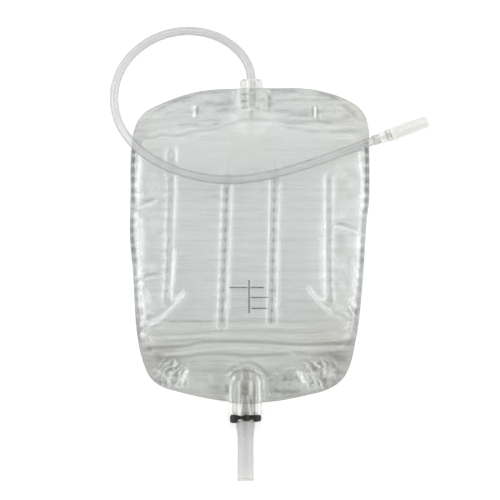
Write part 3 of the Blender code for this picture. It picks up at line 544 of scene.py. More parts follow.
# Folds and creases of the film: points on the pattern, height and half width in mm.
FOLDS = [
    ([(133, 211), (139, 208.4), (149, 204.3), (160, 200.2)], 1.7, 1.7),
    ([(134, 280), (141, 276.8), (150, 274.4), (163, 272.6)], 1.7, 1.7),
    ([(330, 225.6), (341, 227.8), (350, 230.5), (363, 235.0)], 1.6, 1.7),
    ([(186, 289), (177.4, 301.5), (167.8, 311.5), (158.3, 320.6), (144.0, 327.0)], 2.6, 2.5),
    ([(305, 284), (314.6, 296.7), (324, 307), (334, 314)], 1.8, 2.0),
    ([(347, 298), (350, 308.5), (355.2, 316.8), (361, 322)], 1.7, 1.3),
    ([(338, 313), (348, 317), (357, 322)], 1.3, 1.6),
    ([(139, 336), (150, 332), (160, 331.5)], 0.9, 1.6),
    ([(334, 328), (346, 330), (356, 335)], 1.0, 1.6),
]
CREASES = [
    ([(158, 321.8), (175, 321.4), (200, 321.2), (222, 321.8)], 0.9, 1.2),
    ([(276, 320.5), (300, 321.5), (326, 322.5)], 0.5, 1.1),
    ([(150, 333.5), (175, 334.4), (200, 332.5), (230, 330.8), (262, 331.2), (300, 332.8), (330, 332)], 0.7, 1.3),
    ([(139, 349), (165, 347.6), (188, 345.8), (201, 342.4), (230, 341.7), (260, 342.2), (301, 344.8), (330, 344), (357, 342.5)], 1.5, 1.5),
    ([(155, 359.5), (170, 358.5), (188, 357.2), (200, 354.2), (221, 354), (248, 356), (272, 355), (300, 353.4), (312, 355.2), (330, 354.2), (346, 351)], 1.3, 1.4),
    ([(134, 133.6), (151, 137.4), (162.6, 133.6), (176, 136.5), (192, 132.6), (215, 130), (236, 122)], 0.9, 1.1),
    ([(170, 126.5), (190, 124.4), (206, 126.2), (224, 121)], 0.6, 1.0),
    ([(266, 121), (283, 127.8), (300, 129), (317, 131.7), (346, 130.5), (362, 133)], 0.8, 1.1),
    ([(274, 120), (288, 122.2), (304, 122.1), (324, 121.4), (336, 124)], 0.7, 1.0),
]
crepe_1, crepe_2, crepe_3, crepe_4 = Waves(11), Waves(23), Waves(37), Waves(51)


def strokes(points, lines):
    """Soft strokes along lines of the pattern: (points, strength, half width in steps,
    share of the length over which they fade), faded at both ends."""
    total = np.zeros(len(points))
    for line, strength, width, fade_share in lines:
        path = np.stack(grid(*through(line, 6, False).T), 1)
        low, high = path.min(0) - 8 * GRID, path.max(0) + 8 * GRID
        near = np.all((points > low) & (points < high), axis=1)
        if not near.any():
            continue
        far, which, share, _ = to_line(points[near], path, False)
        along = (which + share) / (len(path) - 1)
        fade = eased(along / fade_share + 0.02) * eased((1 - along) / fade_share + 0.02) if fade_share else 1.0
        total[near] = np.maximum(total[near], strength * fade * np.exp(-((far / GRID / width) ** 2)))
    return total


# painted highlights along the folds, welds, rims, slots and creases, and beside the outlet housing
BRIGHT = [
    ([(138.6, 158), (139.4, 172), (138.4, 194)], 0.62, 3.4, 0.2),
    ([(140.2, 214), (141.4, 236), (141.2, 262)], 0.70, 4.0, 0.15),
    ([(145, 289), (148, 300), (144, 308)], 0.45, 3.4, 0.2),
    ([(142, 314), (150, 312), (158, 316)], 0.45, 2.6, 0.3),
    ([(361.5, 156), (361.6, 180), (360.6, 202)], 0.55, 1.8, 0.15),
    ([(355.5, 196), (357.0, 206), (356.0, 219)], 0.40, 3.2, 0.25),
    ([(352.0, 236), (357.5, 243), (358.4, 254)], 0.45, 2.4, 0.25),
    ([(353.6, 254), (354.6, 274), (351.6, 294)], 0.66, 3.4, 0.2),
    ([(174.6, 248), (174.2, 262), (172.0, 280), (169.2, 302)], 0.85, 2.2, 0.16),
    ([(167.0, 282), (166.4, 300)], 0.50, 1.2, 0.2),
    ([(174.0, 166), (175.4, 180), (176.6, 196), (174.8, 215), (174.6, 240)], 0.26, 2.4, 0.2),
    ([(325.4, 196), (324.4, 214), (324.4, 236)], 0.42, 2.2, 0.3),
    ([(323.6, 240), (324.8, 262), (325.8, 285), (327.2, 301)], 0.52, 2.4, 0.12),
    ([(230.6, 382), (230.3, 392), (230.6, 402)], 0.9, 1.3, 0.1),
    ([(258.8, 378), (259.6, 390), (259.8, 402)], 0.85, 1.2, 0.1),
    ([(232.4, 379.4), (234.6, 377.6)], 0.8, 1.6, 0),
    ([(238.5, 88), (238.3, 98), (238.6, 108)], 0.5, 1.0, 0.15),
    ([(240, 109.4), (246, 110.0), (254, 109.8)], 0.35, 1.1, 0.2),
    ([(265, 92), (268, 90.6), (271, 91.6)], 0.4, 1.3, 0.2),
    ([(256, 104), (262, 108), (268, 110)], 0.3, 1.6, 0.3),
    ([(137, 209.8), (145, 206.0), (160, 200.2)], 0.75, 1.6, 0.15),
    ([(138, 281), (150, 277.6), (162, 276.0)], 0.55, 1.8, 0.15),
    ([(331, 225.8), (341, 228), (350, 230.5), (361.5, 234.8)], 0.85, 1.4, 0.12),
    ([(336, 232), (348, 235), (360, 239)], 0.35, 1.6, 0.3),
    ([(186, 288), (177.4, 301.5), (167.8, 311.5), (158.3, 321.2), (145.8, 326.8)], 0.75, 1.9, 0.12),
    ([(171, 312), (160, 318), (148, 321.5)], 0.5, 1.5, 0.3),
    ([(305, 284), (314.6, 296.7), (324, 307), (333, 313.5)], 0.62, 1.6, 0.15),
    ([(322, 312), (334, 316), (350, 322)], 0.35, 1.5, 0.3),
    ([(347.5, 299), (350.2, 308), (355.4, 317.2)], 0.75, 1.3, 0.15),
    ([(340, 308), (345, 313), (352, 318)], 0.4, 1.6, 0.25),
    ([(177.4, 144), (176.4, 155), (177.5, 166)], 0.45, 1.4, 0.2),
    ([(187.5, 367), (184, 376), (180.6, 385)], 0.8, 1.5, 0.15),
    ([(191.5, 371), (188.4, 378), (186, 385)], 0.3, 1.2, 0.25),
    ([(296.5, 369), (300.5, 378), (307.5, 386)], 0.75, 1.5, 0.15),
    ([(309, 372), (313, 378), (316, 384)], 0.35, 1.4, 0.25),
    ([(191.4, 106.5), (191.2, 111), (191.4, 115)], 0.40, 1.1, 0.2),
    ([(200.0, 105), (200.2, 112), (200.0, 118)], 0.25, 1.1, 0.2),
    ([(310.6, 106), (310.4, 113), (310.6, 118)], 0.30, 1.4, 0),
    ([(310.0, 115), (310.2, 118)], 0.30, 1.4, 0),
    ([(320.2, 105), (320.0, 108)], 0.30, 1.4, 0),
    ([(320.0, 116), (320.2, 119)], 0.25, 1.4, 0),
    ([(273.8, 96.5), (274.2, 100.5), (274.0, 104)], 0.75, 1.5, 0.2),
    ([(252, 93), (262, 96), (268, 104)], 0.2, 2.2, 0.3),
    ([(224, 376.6), (229, 373.6), (233, 371.6)], 0.65, 1.3, 0.2),
    ([(253.5, 369.5), (258, 371.6), (262.5, 374.6)], 0.60, 1.3, 0.2),
    ([(262.5, 379), (265, 388), (269, 399)], 0.55, 2.2, 0.15),
    ([(139, 352), (160, 354.4), (200, 350.5), (240, 347.6), (284, 350), (310, 348.8), (352, 350)], 0.22, 1.6, 0.1),
    ([(282, 349.4), (290, 352.5), (298, 356.5)], 0.45, 1.2, 0.2),
    ([(146, 327.8), (180, 328.5), (226, 325.4), (280, 326.4), (345, 327.6)], 0.16, 1.8, 0.15),
    ([(160, 337.6), (200, 337.0), (250, 335.6), (320, 337.8)], 0.20, 1.5, 0.15),
    ([(140, 143.6), (160, 140.5), (186, 138.4), (206, 133.4), (232, 124.6), (262, 123.6), (300, 126.0), (333, 125.4), (362, 129)], 0.13, 1.9, 0.15),
    ([(137, 129.4), (152, 132.6), (163, 129.4), (176, 131.4), (192, 128.4), (212, 125)], 0.17, 1.5, 0.15),
    ([(288, 118.2), (304, 117.8), (322, 117.2)], 0.25, 1.3, 0.15),
    ([(150, 118), (168, 110.6), (186, 103.5), (206, 99), (226, 96.4)], 0.22, 1.5, 0.15),
    ([(206, 107), (220, 101), (232, 104)], 0.25, 2.0, 0.3),
    ([(283, 95.6), (300, 94.8), (322, 98.5)], 0.20, 1.6, 0.2),
    ([(327, 104), (340, 107.6), (352, 115.6), (358, 124)], 0.25, 1.8, 0.15),
    ([(148, 380.4), (178, 394.2), (206, 400.4), (229, 403.4)], 0.30, 1.0, 0.1),
    ([(262, 404), (302, 398.6), (330, 391), (345, 380)], 0.25, 1.0, 0.1),
    ([(152, 368), (165, 376), (175, 388)], 0.30, 2.2, 0.25),
    ([(204, 371), (212, 379), (208, 390)], 0.22, 2.0, 0.3),
    ([(318, 366), (327, 372), (334, 381)], 0.30, 2.0, 0.3),
    ([(276, 372), (286, 370), (296, 366)], 0.25, 1.8, 0.3),
]
SHADED = [
    ([(269.4, 95.6), (269.5, 97.0), (269.6, 98.6)], 0.75, 1.3, 0),
    ([(269.6, 104), (269.6, 106)], 0.60, 1.4, 0),
    ([(263.6, 98), (263.8, 100)], 0.35, 1.3, 0),
    ([(264.2, 106.4), (264.4, 107.4)], 0.35, 1.2, 0),
    ([(251.4, 112.6), (251.6, 114.6)], 0.30, 1.2, 0),
    ([(229.6, 386), (229.4, 393)], 0.30, 1.0, 0),
    ([(137, 205.0), (148, 201.0), (157, 198.2)], 0.34, 1.4, 0.2),
    ([(137, 277.8), (147, 274.8), (162, 272.6)], 0.42, 1.3, 0.15),
    ([(334, 223.4), (345, 224.8), (360, 230.4)], 0.32, 1.3, 0.2),
    ([(163, 321.6), (190, 321.4), (216, 321.8)], 0.26, 1.2, 0.15),
    ([(216, 321.8), (250, 321.0), (290, 321.6), (325, 322.4)], 0.12, 1.2, 0.15),
    ([(150, 333.2), (175, 334.2), (200, 332.6), (230, 331.0), (262, 331.2), (300, 332.8), (335, 332)], 0.16, 1.2, 0.1),
    ([(140, 341), (170, 341.6), (200, 339.0), (222, 338.6)], 0.14, 1.2, 0.2),
    ([(141, 348.6), (165, 347.8), (188, 345.8), (201, 342.6), (230, 341.9), (260, 342.3), (301, 344.6), (330, 344), (355, 343)], 0.36, 1.6, 0.05),
    ([(154, 359), (170, 358.4), (188, 357.0), (200, 354.4), (221, 354.0), (248, 356), (272, 355), (300, 353.6), (312, 355.2), (330, 354.3), (346, 351)], 0.28, 1.6, 0.08),
    ([(134, 133.6), (151, 137.2), (162.6, 133.8), (176, 136.3), (192, 132.8), (215, 129.6), (236, 122.4), (247, 119.4), (262, 119.2), (276, 120)], 0.20, 1.3, 0.1),
    ([(176, 125.2), (192, 124.2), (206, 126.0), (222, 121)], 0.22, 1.1, 0.15),
    ([(276, 120), (288, 122.0), (304, 122.0), (323, 121.6), (336, 124)], 0.24, 1.1, 0.12),
    ([(283, 128), (300, 129.6), (317, 131.6), (346, 130.7), (362, 132.4)], 0.22, 1.1, 0.12),
    ([(196.8, 105), (196.6, 111), (196.8, 119)], 0.65, 0.9, 0.15),
    ([(313.2, 105), (313.0, 112), (313.2, 119)], 0.70, 0.8, 0.15),
    ([(317.0, 105), (317.2, 112), (317.0, 119)], 0.70, 0.8, 0.15),
    ([(150, 114), (170, 103), (190, 95.6), (212, 91.6), (236, 90.8)], 0.20, 1.0, 0.1),
    ([(262, 90), (282, 90), (300, 90.6)], 0.30, 0.9, 0.2),
    ([(318, 92.6), (328, 94.6), (340, 99)], 0.30, 1.0, 0.2),
    ([(200, 101.6), (214, 104), (226, 102)], 0.15, 1.8, 0.3),
    ([(214, 111), (222, 110), (230, 108)], 0.25, 1.4, 0.3),
    ([(288, 113.6), (300, 114.8), (312, 114)], 0.25, 1.3, 0.2),
    ([(340, 103), (350, 109.6), (358, 119)], 0.20, 1.4, 0.2),
    ([(152, 352), (158, 356), (166, 361)], 0.30, 3.0, 0.3),
    ([(322, 352), (336, 357), (350, 361)], 0.26, 3.2, 0.3),
    ([(352, 309), (355, 312), (357, 316)], 0.50, 1.6, 0.2),
    ([(141, 320), (147, 318), (153, 315)], 0.20, 1.6, 0.3),
    ([(238, 364.6), (245.7, 362.6), (254, 363.6), (264, 371), (270, 378.6)], 0.34, 1.3, 0.12),
    ([(238, 364.6), (231, 369), (224, 375.6)], 0.24, 1.2, 0.2),
    ([(227.4, 384), (227.2, 389), (227.6, 394)], 0.45, 1.4, 0.2),
    ([(279, 379), (290, 379.6), (301, 378.2)], 0.26, 1.4, 0.25),
    ([(278, 391), (290, 392.6), (302, 391.4)], 0.26, 1.4, 0.25),
    ([(206, 384), (214, 388), (222, 386)], 0.20, 1.6, 0.3),
    ([(269, 383), (274, 389), (280, 395)], 0.22, 1.5, 0.3),
    ([(146, 376), (178, 390.2), (206, 396.8), (229, 399.8)], 0.16, 1.0, 0.1),
    ([(262, 400.4), (302, 394.8), (328, 387.4), (341, 378)], 0.20, 1.0, 0.1),
    ([(166, 368), (172, 371), (176, 378)], 0.28, 1.6, 0.3),
    ([(311, 366), (318, 371), (322, 379)], 0.26, 1.8, 0.3),
    ([(331, 364), (337, 369), (340, 376)], 0.20, 1.8, 0.3),
]


def film_fields(points):
    """Everything known about points of the film in plan."""
    gx, gy = points[:, 0] / GRID + GRID_X0, GRID_Y0 - points[:, 1] / GRID
    edge, _, _, _ = to_line(points, CUT, True)
    pouch, _, _, _ = to_line(points, POUCH, True)
    pouch = np.where(inside(points, POUCH), pouch, -pouch)
    seam = np.full(len(points), 1.0)
    nearest = np.zeros(len(points), int)
    for i, (x1, y1, x2, y2) in enumerate(SEAMS):
        at = x1 + (x2 - x1) * (gy - y1) / (y2 - y1)
        beyond = np.maximum(np.maximum(y1 - gy, gy - y2), 0) * GRID
        off = (gx - at) * GRID
        sized = np.where(off < 0, -1, 1) * np.hypot(off, beyond)
        nearest = np.where(np.abs(sized) < np.abs(seam), i, nearest)
        seam = np.where(np.abs(sized) < np.abs(seam), sized, seam)
    gathered_side = eased((np.abs(gx - 250) - 100) / 8) * eased((gy - 138) / 10) * eased((352 - gy) / 20)
    # the smooth stretch over the non-return valve
    lens = eased((gy - 124) / 7) * eased((186 - gy) / 10) * eased((gx - 160) / 14) * eased((342 - gx) / 14)
    side = eased((np.abs(gx - 250) - 100) / 8) * eased((gy - 138) / 10) * eased((352 - gy) / 20)
    crumple = np.clip(
        eased((gy - 300) / 60) * (0.35 + 0.65 * eased((np.abs(gx - 250) - 50) / 50))
        + 0.22 * eased((128 - gy) / 12), 0, 1)

    # painted highlights: beside the welds, inside the rims, and along folds
    rib = 0.5 - 0.5 * np.cos(2 * np.pi * (gy - RIB_AT) / RIB_PITCH)
    patchy = 0.72 + 0.55 * crepe_1(gx / 7, gy / 17) + 0.25 * crepe_2(gx / 4, gy / 6)
    s = seam / GRID
    wander = np.clip(0.85 + 0.8 * crepe_2(gx / 5, gy / 9), 0.2, 1.5)
    line = (hill(s - 3.1, 1.2) + 0.28 * hill(s - 7.0, 1.6)) * wander
    teeth = hill(s + 3.8, 1.6) * (0.20 + 0.85 * rib**2) + 0.50 * hill(s + 7.8, 2.8) * rib**3
    ends = eased((gy - 172) / 8) * eased((324 - gy) / 6)
    inner = (nearest == 1) * (0.62 * line + 0.34 * teeth) * ends
    mirror = (nearest == 2) * (0.60 * line * (0.70 + 0.40 * rib) + 0.28 * hill(s + 3.8, 1.4) * (0.35 + 0.65 * rib)) * ends
    ends = eased((gy - 168) / 16) * eased((305 - gy) / 8)
    low = np.interp(gy, [168, 190, 236, 252, 300], [0.35, 0.55, 0.55, 1.05, 1.05])
    left = (nearest == 0) * (0.36 * low * hill(s - 3.6, 1.9) * patchy + 0.30 * hill(s + 4.2, 2.2) * rib) * ends
    broad = 0.42 * hill(s + 7.6, 3.6) * np.clip(0.9 + 0.7 * crepe_2(gx / 5, gy / 6) + 0.25 * rib, 0.3, 1.6) * eased((gy - 208) / 26)
    right = (nearest == 3) * (0.26 * hill(s + 4.8, 2.3) * patchy + broad + 0.24 * hill(s - 3.6, 2.2) * rib) * ends
    e = edge / GRID
    band = eased((e - 2.6) / 1.6) * np.exp(-((np.maximum(e - 6.0, 0) / 5.0) ** 2))
    flank = side * band * (0.35 + 0.45 * rib) * np.clip(0.85 + 1.5 * crepe_2(gx / 7, gy / 8) + 0.7 * crepe_4(gx / 3.4, gy / 4), 0.10, 1.7)
    flank = flank * np.where(gx < 250, 1.15, 0.62)
    white = inner + mirror + left + right + 0.85 * flank
    # painted highlight over the side chambers, stronger in the right one than the left
    white = white + eased((gy - 150) / 20) * eased((330 - gy) / 20) * (0.14 * eased((166 - gx) / 8) + 0.30 * eased((gx - 330) / 10)) * (0.8 + 0.9 * crepe_1(gx / 9, gy / 7))
    white = np.maximum(white, strokes(points, BRIGHT))
    crush = eased((gy - 356) / 8) * eased((392 - gy) / 8) * (hill(gx - 173, 14) + hill(gx - 319, 16))
    crush = crush + 0.5 * hill(gx - 353, 9) * hill(gy - 308, 14) + 0.35 * hill(gx - 146, 8) * hill(gy - 322, 14)
    crush = crush + 0.35 * eased((gx - 262) / 10) * eased((300 - gx) / 10) * eased((gy - 370) / 6) * eased((e - 2) / 3)
    flange = eased((124 - gy) / 8) * eased(e / 3) + 0.6 * eased((gy - 362) / 10) * eased(e / 3)
    dark = strokes(points, SHADED)
    quiet = eased((20 - np.abs(gx - 251.2)) / 6) * eased((136 - gy) / 14) + eased((24 - np.abs(gx - 245.6)) / 8) * eased((gy - 352) / 10)
    dim = np.interp(gy, [150, 165, 195, 240, 270, 290, 310, 327, 336, 350, 362, 374, 394], [0, 0, 0.19, 0.31, 0.38, 0.43, 0.55, 0.71, 0.62, 0.76, 1.0, 0.75, 0.68])
    corner = eased((gx - 305) / 22) + eased((188 - gx) / 20) * (1 - 0.9 * eased((gx - 160) / 10) * eased((gy - 354) / 8))
    dim = dim + 0.75 * corner * eased((gy - 338) / 12) * eased((398 - gy) / 12)
    dim = dim + 0.70 * hill(gx - 285, 12) * hill(gy - 380, 14) + 0.30 * hill(gx - 218, 9) * hill(gy - 378, 18)
    dim = dim + 0.40 * eased((np.abs(gx - 247) - 88) / 10) * eased((gy - 300) / 14) * eased((350 - gy) / 10)
    dim = dim - 0.50 * hill(gx - 315, 7) * eased((gy - 205) / 20) * eased((312 - gy) / 16)
    dim = dim + 0.75 * hill(gx - 257, 13) * hill(gy - 121, 8) + 0.80 * hill(gx - 140, 8) * hill(gy - 332, 9)
    dim = dim + 0.55 * hill(gx - 350, 7) * hill(gy - 311, 10) - 0.75 * hill(gx - 178, 9) * hill(gy - 381, 11)
    dim = dim - 0.80 * hill(gx - 316, 8) * hill(gy - 384, 9) - 0.75 * hill(gx - 246, 12) * hill(gy - 382, 12)
    warm = 0.24 * eased((174 - gy) / 20) + 0.50 * eased((gx - 316) / 24) + 0.60 * eased((gy - 304) / 30)
    warm = warm + 0.22 * eased((162 - gx) / 16) + 0.30 * eased((gx - 290) / 20) * eased((gy - 275) / 30)
    warm = warm + 0.30 * eased((gx - 292) / 20) * eased((130 - gy) / 16)
    # the rim's dashes of painted shade fade towards the bottom
    low_left = np.interp(gy, [196, 204, 216, 222, 256, 270, 340], [1, 0.35, 0.3, 1, 0.9, 0.35, 0.25])
    low_right = np.interp(gy, [206, 216, 236, 244, 262, 272, 340], [1, 0.45, 0.3, 0.8, 0.75, 0.4, 0.3])
    side = side * np.where(gx < 250, low_left, low_right)
    return dict(
        gx=gx, gy=gy, edge=edge, pouch=pouch, seam=seam, smooth=lens, side=side, crumple=crumple,
        white=np.clip(white, 0, 1.0) * 0.60, shadow=np.clip(dark, 0, 0.9) * 0.30,
        crush=np.clip(crush, 0, 1), flange=np.clip(flange, 0, 1), gather=gathered_side, quiet=np.clip(quiet, 0, 1),
        dim=np.clip(dim / 2, 0, 1), warm=np.clip(warm, 0, 1),
    )


def front_rise(points, f):
    """Height of the front film's underside, in metres."""
    gx, gy, seam = f["gx"], f["gy"], np.abs(f["seam"])
    inner = np.maximum(f["pouch"], 0)
    near = inner / MM
    lift = 1 - np.exp(-near / 6.0)
    quilt = 1 - 0.90 * np.exp(-((seam / MM / 3.1) ** 1.25))
    narrow = (eased((170 - gx) / 6) + eased((gx - 328) / 6)) * eased((gy - 160) / 25) * eased((306 - gy) / 26)
    rise = 6.2 - 1.6 * narrow
    rise = rise * (1 - 0.10 * eased((gy - 300) / 50))
    h = lift * quilt * rise * (1 + 0.05 * crepe_1(gx / 38, gy / 46) + 0.02 * crepe_3(gx / 30, gy / 9))

    # ribs: deep where the film is gathered by a seam or the rim, faint between
    gathered = np.exp(-seam / MM / 5.5) * (seam < 0.03) + np.exp(-np.maximum(near - 1, 0) / 6.0) * f["gather"]
    body = (f["pouch"] > 0) * eased((320 - gy) / 14) * (1 - 0.92 * f["smooth"])
    amount = (0.07 + 0.55 * np.clip(gathered, 0, 1)) * body * (0.85 + 0.6 * crepe_4(gx / 24, gy / 10))
    flange = (f["pouch"] <= 0) * (0.10 + 0.10 * crepe_2(gx / 9, gy / 6))
    rows = gy + 0.9 * crepe_3(gx / 26, gy / 19)
    h = h + (amount + flange) * rib_shape(rows)

    # folds and creases
    for line, height, width in FOLDS:
        path = np.stack(grid(*through(line, 6, False).T), 1)
        far, which, share, turn = to_line(points, path, False)
        along = (which + share) / (len(path) - 1)
        fade = eased(along / 0.18) * eased((1 - along) / 0.22)
        w = np.where(turn > 0, width, width * 0.55)
        h = h + height * fade * np.exp(-((far / MM / w) ** 1.5))
        h = h - 0.45 * height * fade * hill(far / MM - width * 1.5, width * 0.7) * (turn > 0)
    for line, depth, width in CREASES:
        path = np.stack(grid(*through(line, 6, False).T), 1)
        far, which, share, _ = to_line(points, path, False)
        along = (which + share) / (len(path) - 1)
        fade = eased(along / 0.12) * eased((1 - along) / 0.12)
        h = h - depth * fade * np.exp(-((far / MM / width) ** 1.4))
        h = h + 0.45 * depth * fade * hill(far / MM - width * 2.1, width)

    # small crumples, long across the bag and strongest in the lower corners
    crumple = f["crumple"]
    h = h + 0.12 * crepe_2(gx / 16, gy / 5.5) * (1 - 0.7 * f["smooth"]) * eased(near / 6)
    h = h + crumple * (0.50 * crepe_3(gx / 13, gy / 4.6) + 0.22 * crepe_4(gx / 5.2, gy / 3.1)) * eased((f["edge"] / MM - 1.5) / 5)
    corner = eased((gy - 352) / 10) * eased((390 - gy) / 10) * (hill(gx - 172, 15) + hill(gx - 322, 17))
    h = h + corner * 0.34 * np.sin((gx * 1.0 + gy * np.where(gx < 250, 0.45, -0.45)) * 0.95 + 2 * crepe_1(gx / 12, gy / 9))
    h = np.maximum(h, 0.0) * MM

    # over the port and its nipple
    x0, _ = grid(PORT_X, 0)
    off = np.abs(points[:, 0] - x0) / MM
    across = np.interp(off, [0, 4.6, 8.4, 9.9, 14.5], [1, 0.985, 0.87, 0.69, 0])
    end = float(grid(0, PORT_END)[1])
    below = eased((end - points[:, 1]) / MM / 6 + 0.3)
    across = across * (1 - below) + 1.02 * np.exp(-((off / 14.0) ** 2)) * below
    rows = [float(grid(0, y)[1]) for y in (NIPPLE_END + 34, NIPPLE_END + 14, NIPPLE_END + 2, PORT_END, PORT_TOP)]
    along = np.interp(points[:, 1], rows, [0.0, 0.62, 0.92, 1.0, 1.0])
    hump = across * along * (PORT_Z + 4.35 * MM + 0.35 * MM - FRONT_Z)
    h = np.maximum(h, hump)

    # over the outlet housing: drawn tight over its shoulders and its sides
    x0, y0 = (float(v) for v in grid(OUTLET_X, OUTLET_TOP))
    off, down = np.abs(points[:, 0] - x0), (y0 - points[:, 1]) / MM
    half = np.where(
        down < 0, 6.2 * np.sqrt(np.clip(1 - (down / 9.0) ** 2, 0, 1)),
        6.2 + (HOUSING_A / MM - 6.2) * np.sqrt(np.clip(1 - (1 - np.clip((down - 2.6) / 8.4, 0, 1)) ** 2, 0, 1)))
    a = (half + 0.25) * MM
    deep = half * MM * HOUSING_B / HOUSING_A + 0.25 * MM
    section = np.clip(1 - (off / a) ** HOUSING_N, 0, 1) ** (1 / HOUSING_N) * deep
    height = OUTLET_Z - FRONT_Z
    hump = np.where(off < a, height + section, np.clip(1 - (off - a) / (1.3 * MM), 0, 1) * height)
    hump = hump * np.where(down < 0, np.sqrt(np.clip(1 + down / 9.0, 0, 1)), 1.0)
    h = np.maximum(h, hump)

    # pressed down under the inlet tube
    far, which, share, _ = to_line(points, CROSSING[:, :2], False)
    z = CROSSING[which, 2] * (1 - share) + CROSSING[np.minimum(which + 1, len(CROSSING) - 1), 2] * share
    limit = z - TUBE_R - FILM - 0.15 * MM - FRONT_Z
    bowl = limit + np.where(far < TUBE_R, TUBE_R - np.sqrt(np.maximum(TUBE_R**2 - far**2, 0)), TUBE_R + 0.5 * (far - TUBE_R)) * 0.55
    h = np.minimum(h, np.maximum(bowl, 0))
    return FRONT_Z + h


def slot_frame(points, slot):
    x, y, lean = slot
    cx, cy = grid(x, y)
    a = math.radians(lean)
    d = points - np.array([float(cx), float(cy)])
    return d @ np.array([math.cos(a), math.sin(a)]), d @ np.array([-math.sin(a), math.cos(a)]), a, (float(cx), float(cy))


def film_piece(name, columns, rows, low, high, material):
    """A closed sheet over the bag's outline. low and high give its two faces."""
    x = spaced(columns, 0, 1, lambda t: 1 + 1.6 * hill(np.abs(t - 0.489) - 0.068, 0.02) + 0.9 * hill(t, 0.02) + 0.9 * hill(1 - t, 0.02))
    y = spaced(rows, 0, 1, lambda t: 1 + 0.4 * hill(t - 0.12, 0.10))
    u, v = np.meshgrid(x, y)
    plan = stretched(u.ravel(), v.ravel())
    index = np.arange(plan.shape[0]).reshape(rows, columns)
    quads = np.stack([index[:-1, :-1], index[:-1, 1:], index[1:, 1:], index[1:, :-1]], -1).reshape(-1, 4)
    middle = plan[quads].mean(1)
    keep = np.ones(len(quads), bool)
    half, r = SLOT_LENGTH / 2 - SLOT_WIDTH / 2, SLOT_WIDTH / 2
    for slot in SLOTS:
        across, along, a, centre = slot_frame(middle, slot)
        keep &= np.hypot(across, np.maximum(np.abs(along) - half, 0)) > r
    quads = quads[keep]
    used = np.zeros(len(plan), bool)
    used[quads.ravel()] = True
    # move the points round a slot onto its outline
    for slot in SLOTS:
        across, along, a, centre = slot_frame(plan, slot)
        core = np.clip(along, -half, half)
        far = np.hypot(across, along - core)
        loose = np.zeros(len(plan), bool)
        touching = np.zeros(len(plan), int)
        np.add.at(touching, quads.ravel(), 1)
        loose = used & (touching < 4) & (far < r + 1.6 * MM)
        scale = r / np.maximum(far, 1e-9)
        new_across, new_along = across * scale, core + (along - core) * scale
        plan[loose, 0] = centre[0] + new_across[loose] * math.cos(a) - new_along[loose] * math.sin(a)
        plan[loose, 1] = centre[1] + new_across[loose] * math.sin(a) + new_along[loose] * math.cos(a)
    number = np.cumsum(used) - 1
    plan, quads = plan[used], number[quads]
    fields = film_fields(plan)
    z_low, z_high = low(plan, fields), high(plan, fields)
    n = len(plan)
    co = np.vstack([np.column_stack([plan, z_high]), np.column_stack([plan, z_low])])
    forward = np.concatenate([quads[:, [k, (k + 1) % 4]] for k in range(4)])
    have = {(int(p), int(q)) for p, q in forward}
    rim = [(p, q) for p, q in have if (q, p) not in have]
    walls = np.array([(q, p, p + n, q + n) for p, q in sorted(rim)])
    faces = np.vstack([quads, quads[:, ::-1] + n, walls])
    mesh = bpy.data.meshes.new(name)
    mesh.vertices.add(len(co))
    mesh.vertices.foreach_set("co", co.ravel())
    mesh.loops.add(faces.size)
    mesh.loops.foreach_set("vertex_index", faces.ravel().astype(np.int32))
    mesh.polygons.add(len(faces))
    mesh.polygons.foreach_set("loop_start", np.arange(0, faces.size, 4, dtype=np.int32))
    mesh.polygons.foreach_set("use_smooth", np.concatenate([np.ones(2 * len(quads), bool), np.zeros(len(walls), bool)]))
    mesh.update(calc_edges=True)
    mesh.validate()
    for key, unit in (("edge", MM), ("pouch", MM), ("seam", MM), ("smooth", 1), ("side", 1), ("crumple", 1), ("white", 1), ("shadow", 1), ("crush", 1), ("flange", 1), ("quiet", 1), ("dim", 1), ("warm", 1)):
        title = key + "_mm" if unit == MM else key
        values = np.concatenate([fields[key], fields[key]]) / unit
        mesh.attributes.new(title, "FLOAT", "POINT").data.foreach_set("value", values.astype(np.float32))
    obj = bpy.data.objects.new(name, mesh)
    bpy.context.scene.collection.objects.link(obj)
    mesh.materials.append(material)
    return obj


counts = ((178, 234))
front_low = front_rise
back_relief = lambda p, f: 0.10 * MM * rib_shape(f["gy"]) * (1 - f["smooth"]) * eased(f["edge"] / MM / 4)
front = film_piece("front_film_skin", *counts, front_low, lambda p, f: front_rise(p, f) + 0.30 * MM, FRONT_FILM)
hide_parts("front_film")
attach(front, "bag")
back = film_piece(
    "back_film_skin", counts[0] // 2, counts[1] // 2,
    lambda p, f: np.zeros(len(p)), lambda p, f: 0.28 * MM + back_relief(p, f), BACK_FILM,
)
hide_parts("back_film")
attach(back, "bag")


# -------------------------------------------------------------- shape tools
def mesh_object(name, co, faces, material, smooth=True):
    mesh = bpy.data.meshes.new(name)
    mesh.from_pydata([tuple(map(float, p)) for p in co], [], [tuple(map(int, f)) for f in faces])
    mesh.update()
    if smooth:
        mesh.shade_smooth()
        mesh.set_sharp_from_angle(angle=math.radians(40))
    mesh.materials.append(material)
    obj = bpy.data.objects.new(name, mesh)
    bpy.context.scene.collection.objects.link(obj)
    return obj


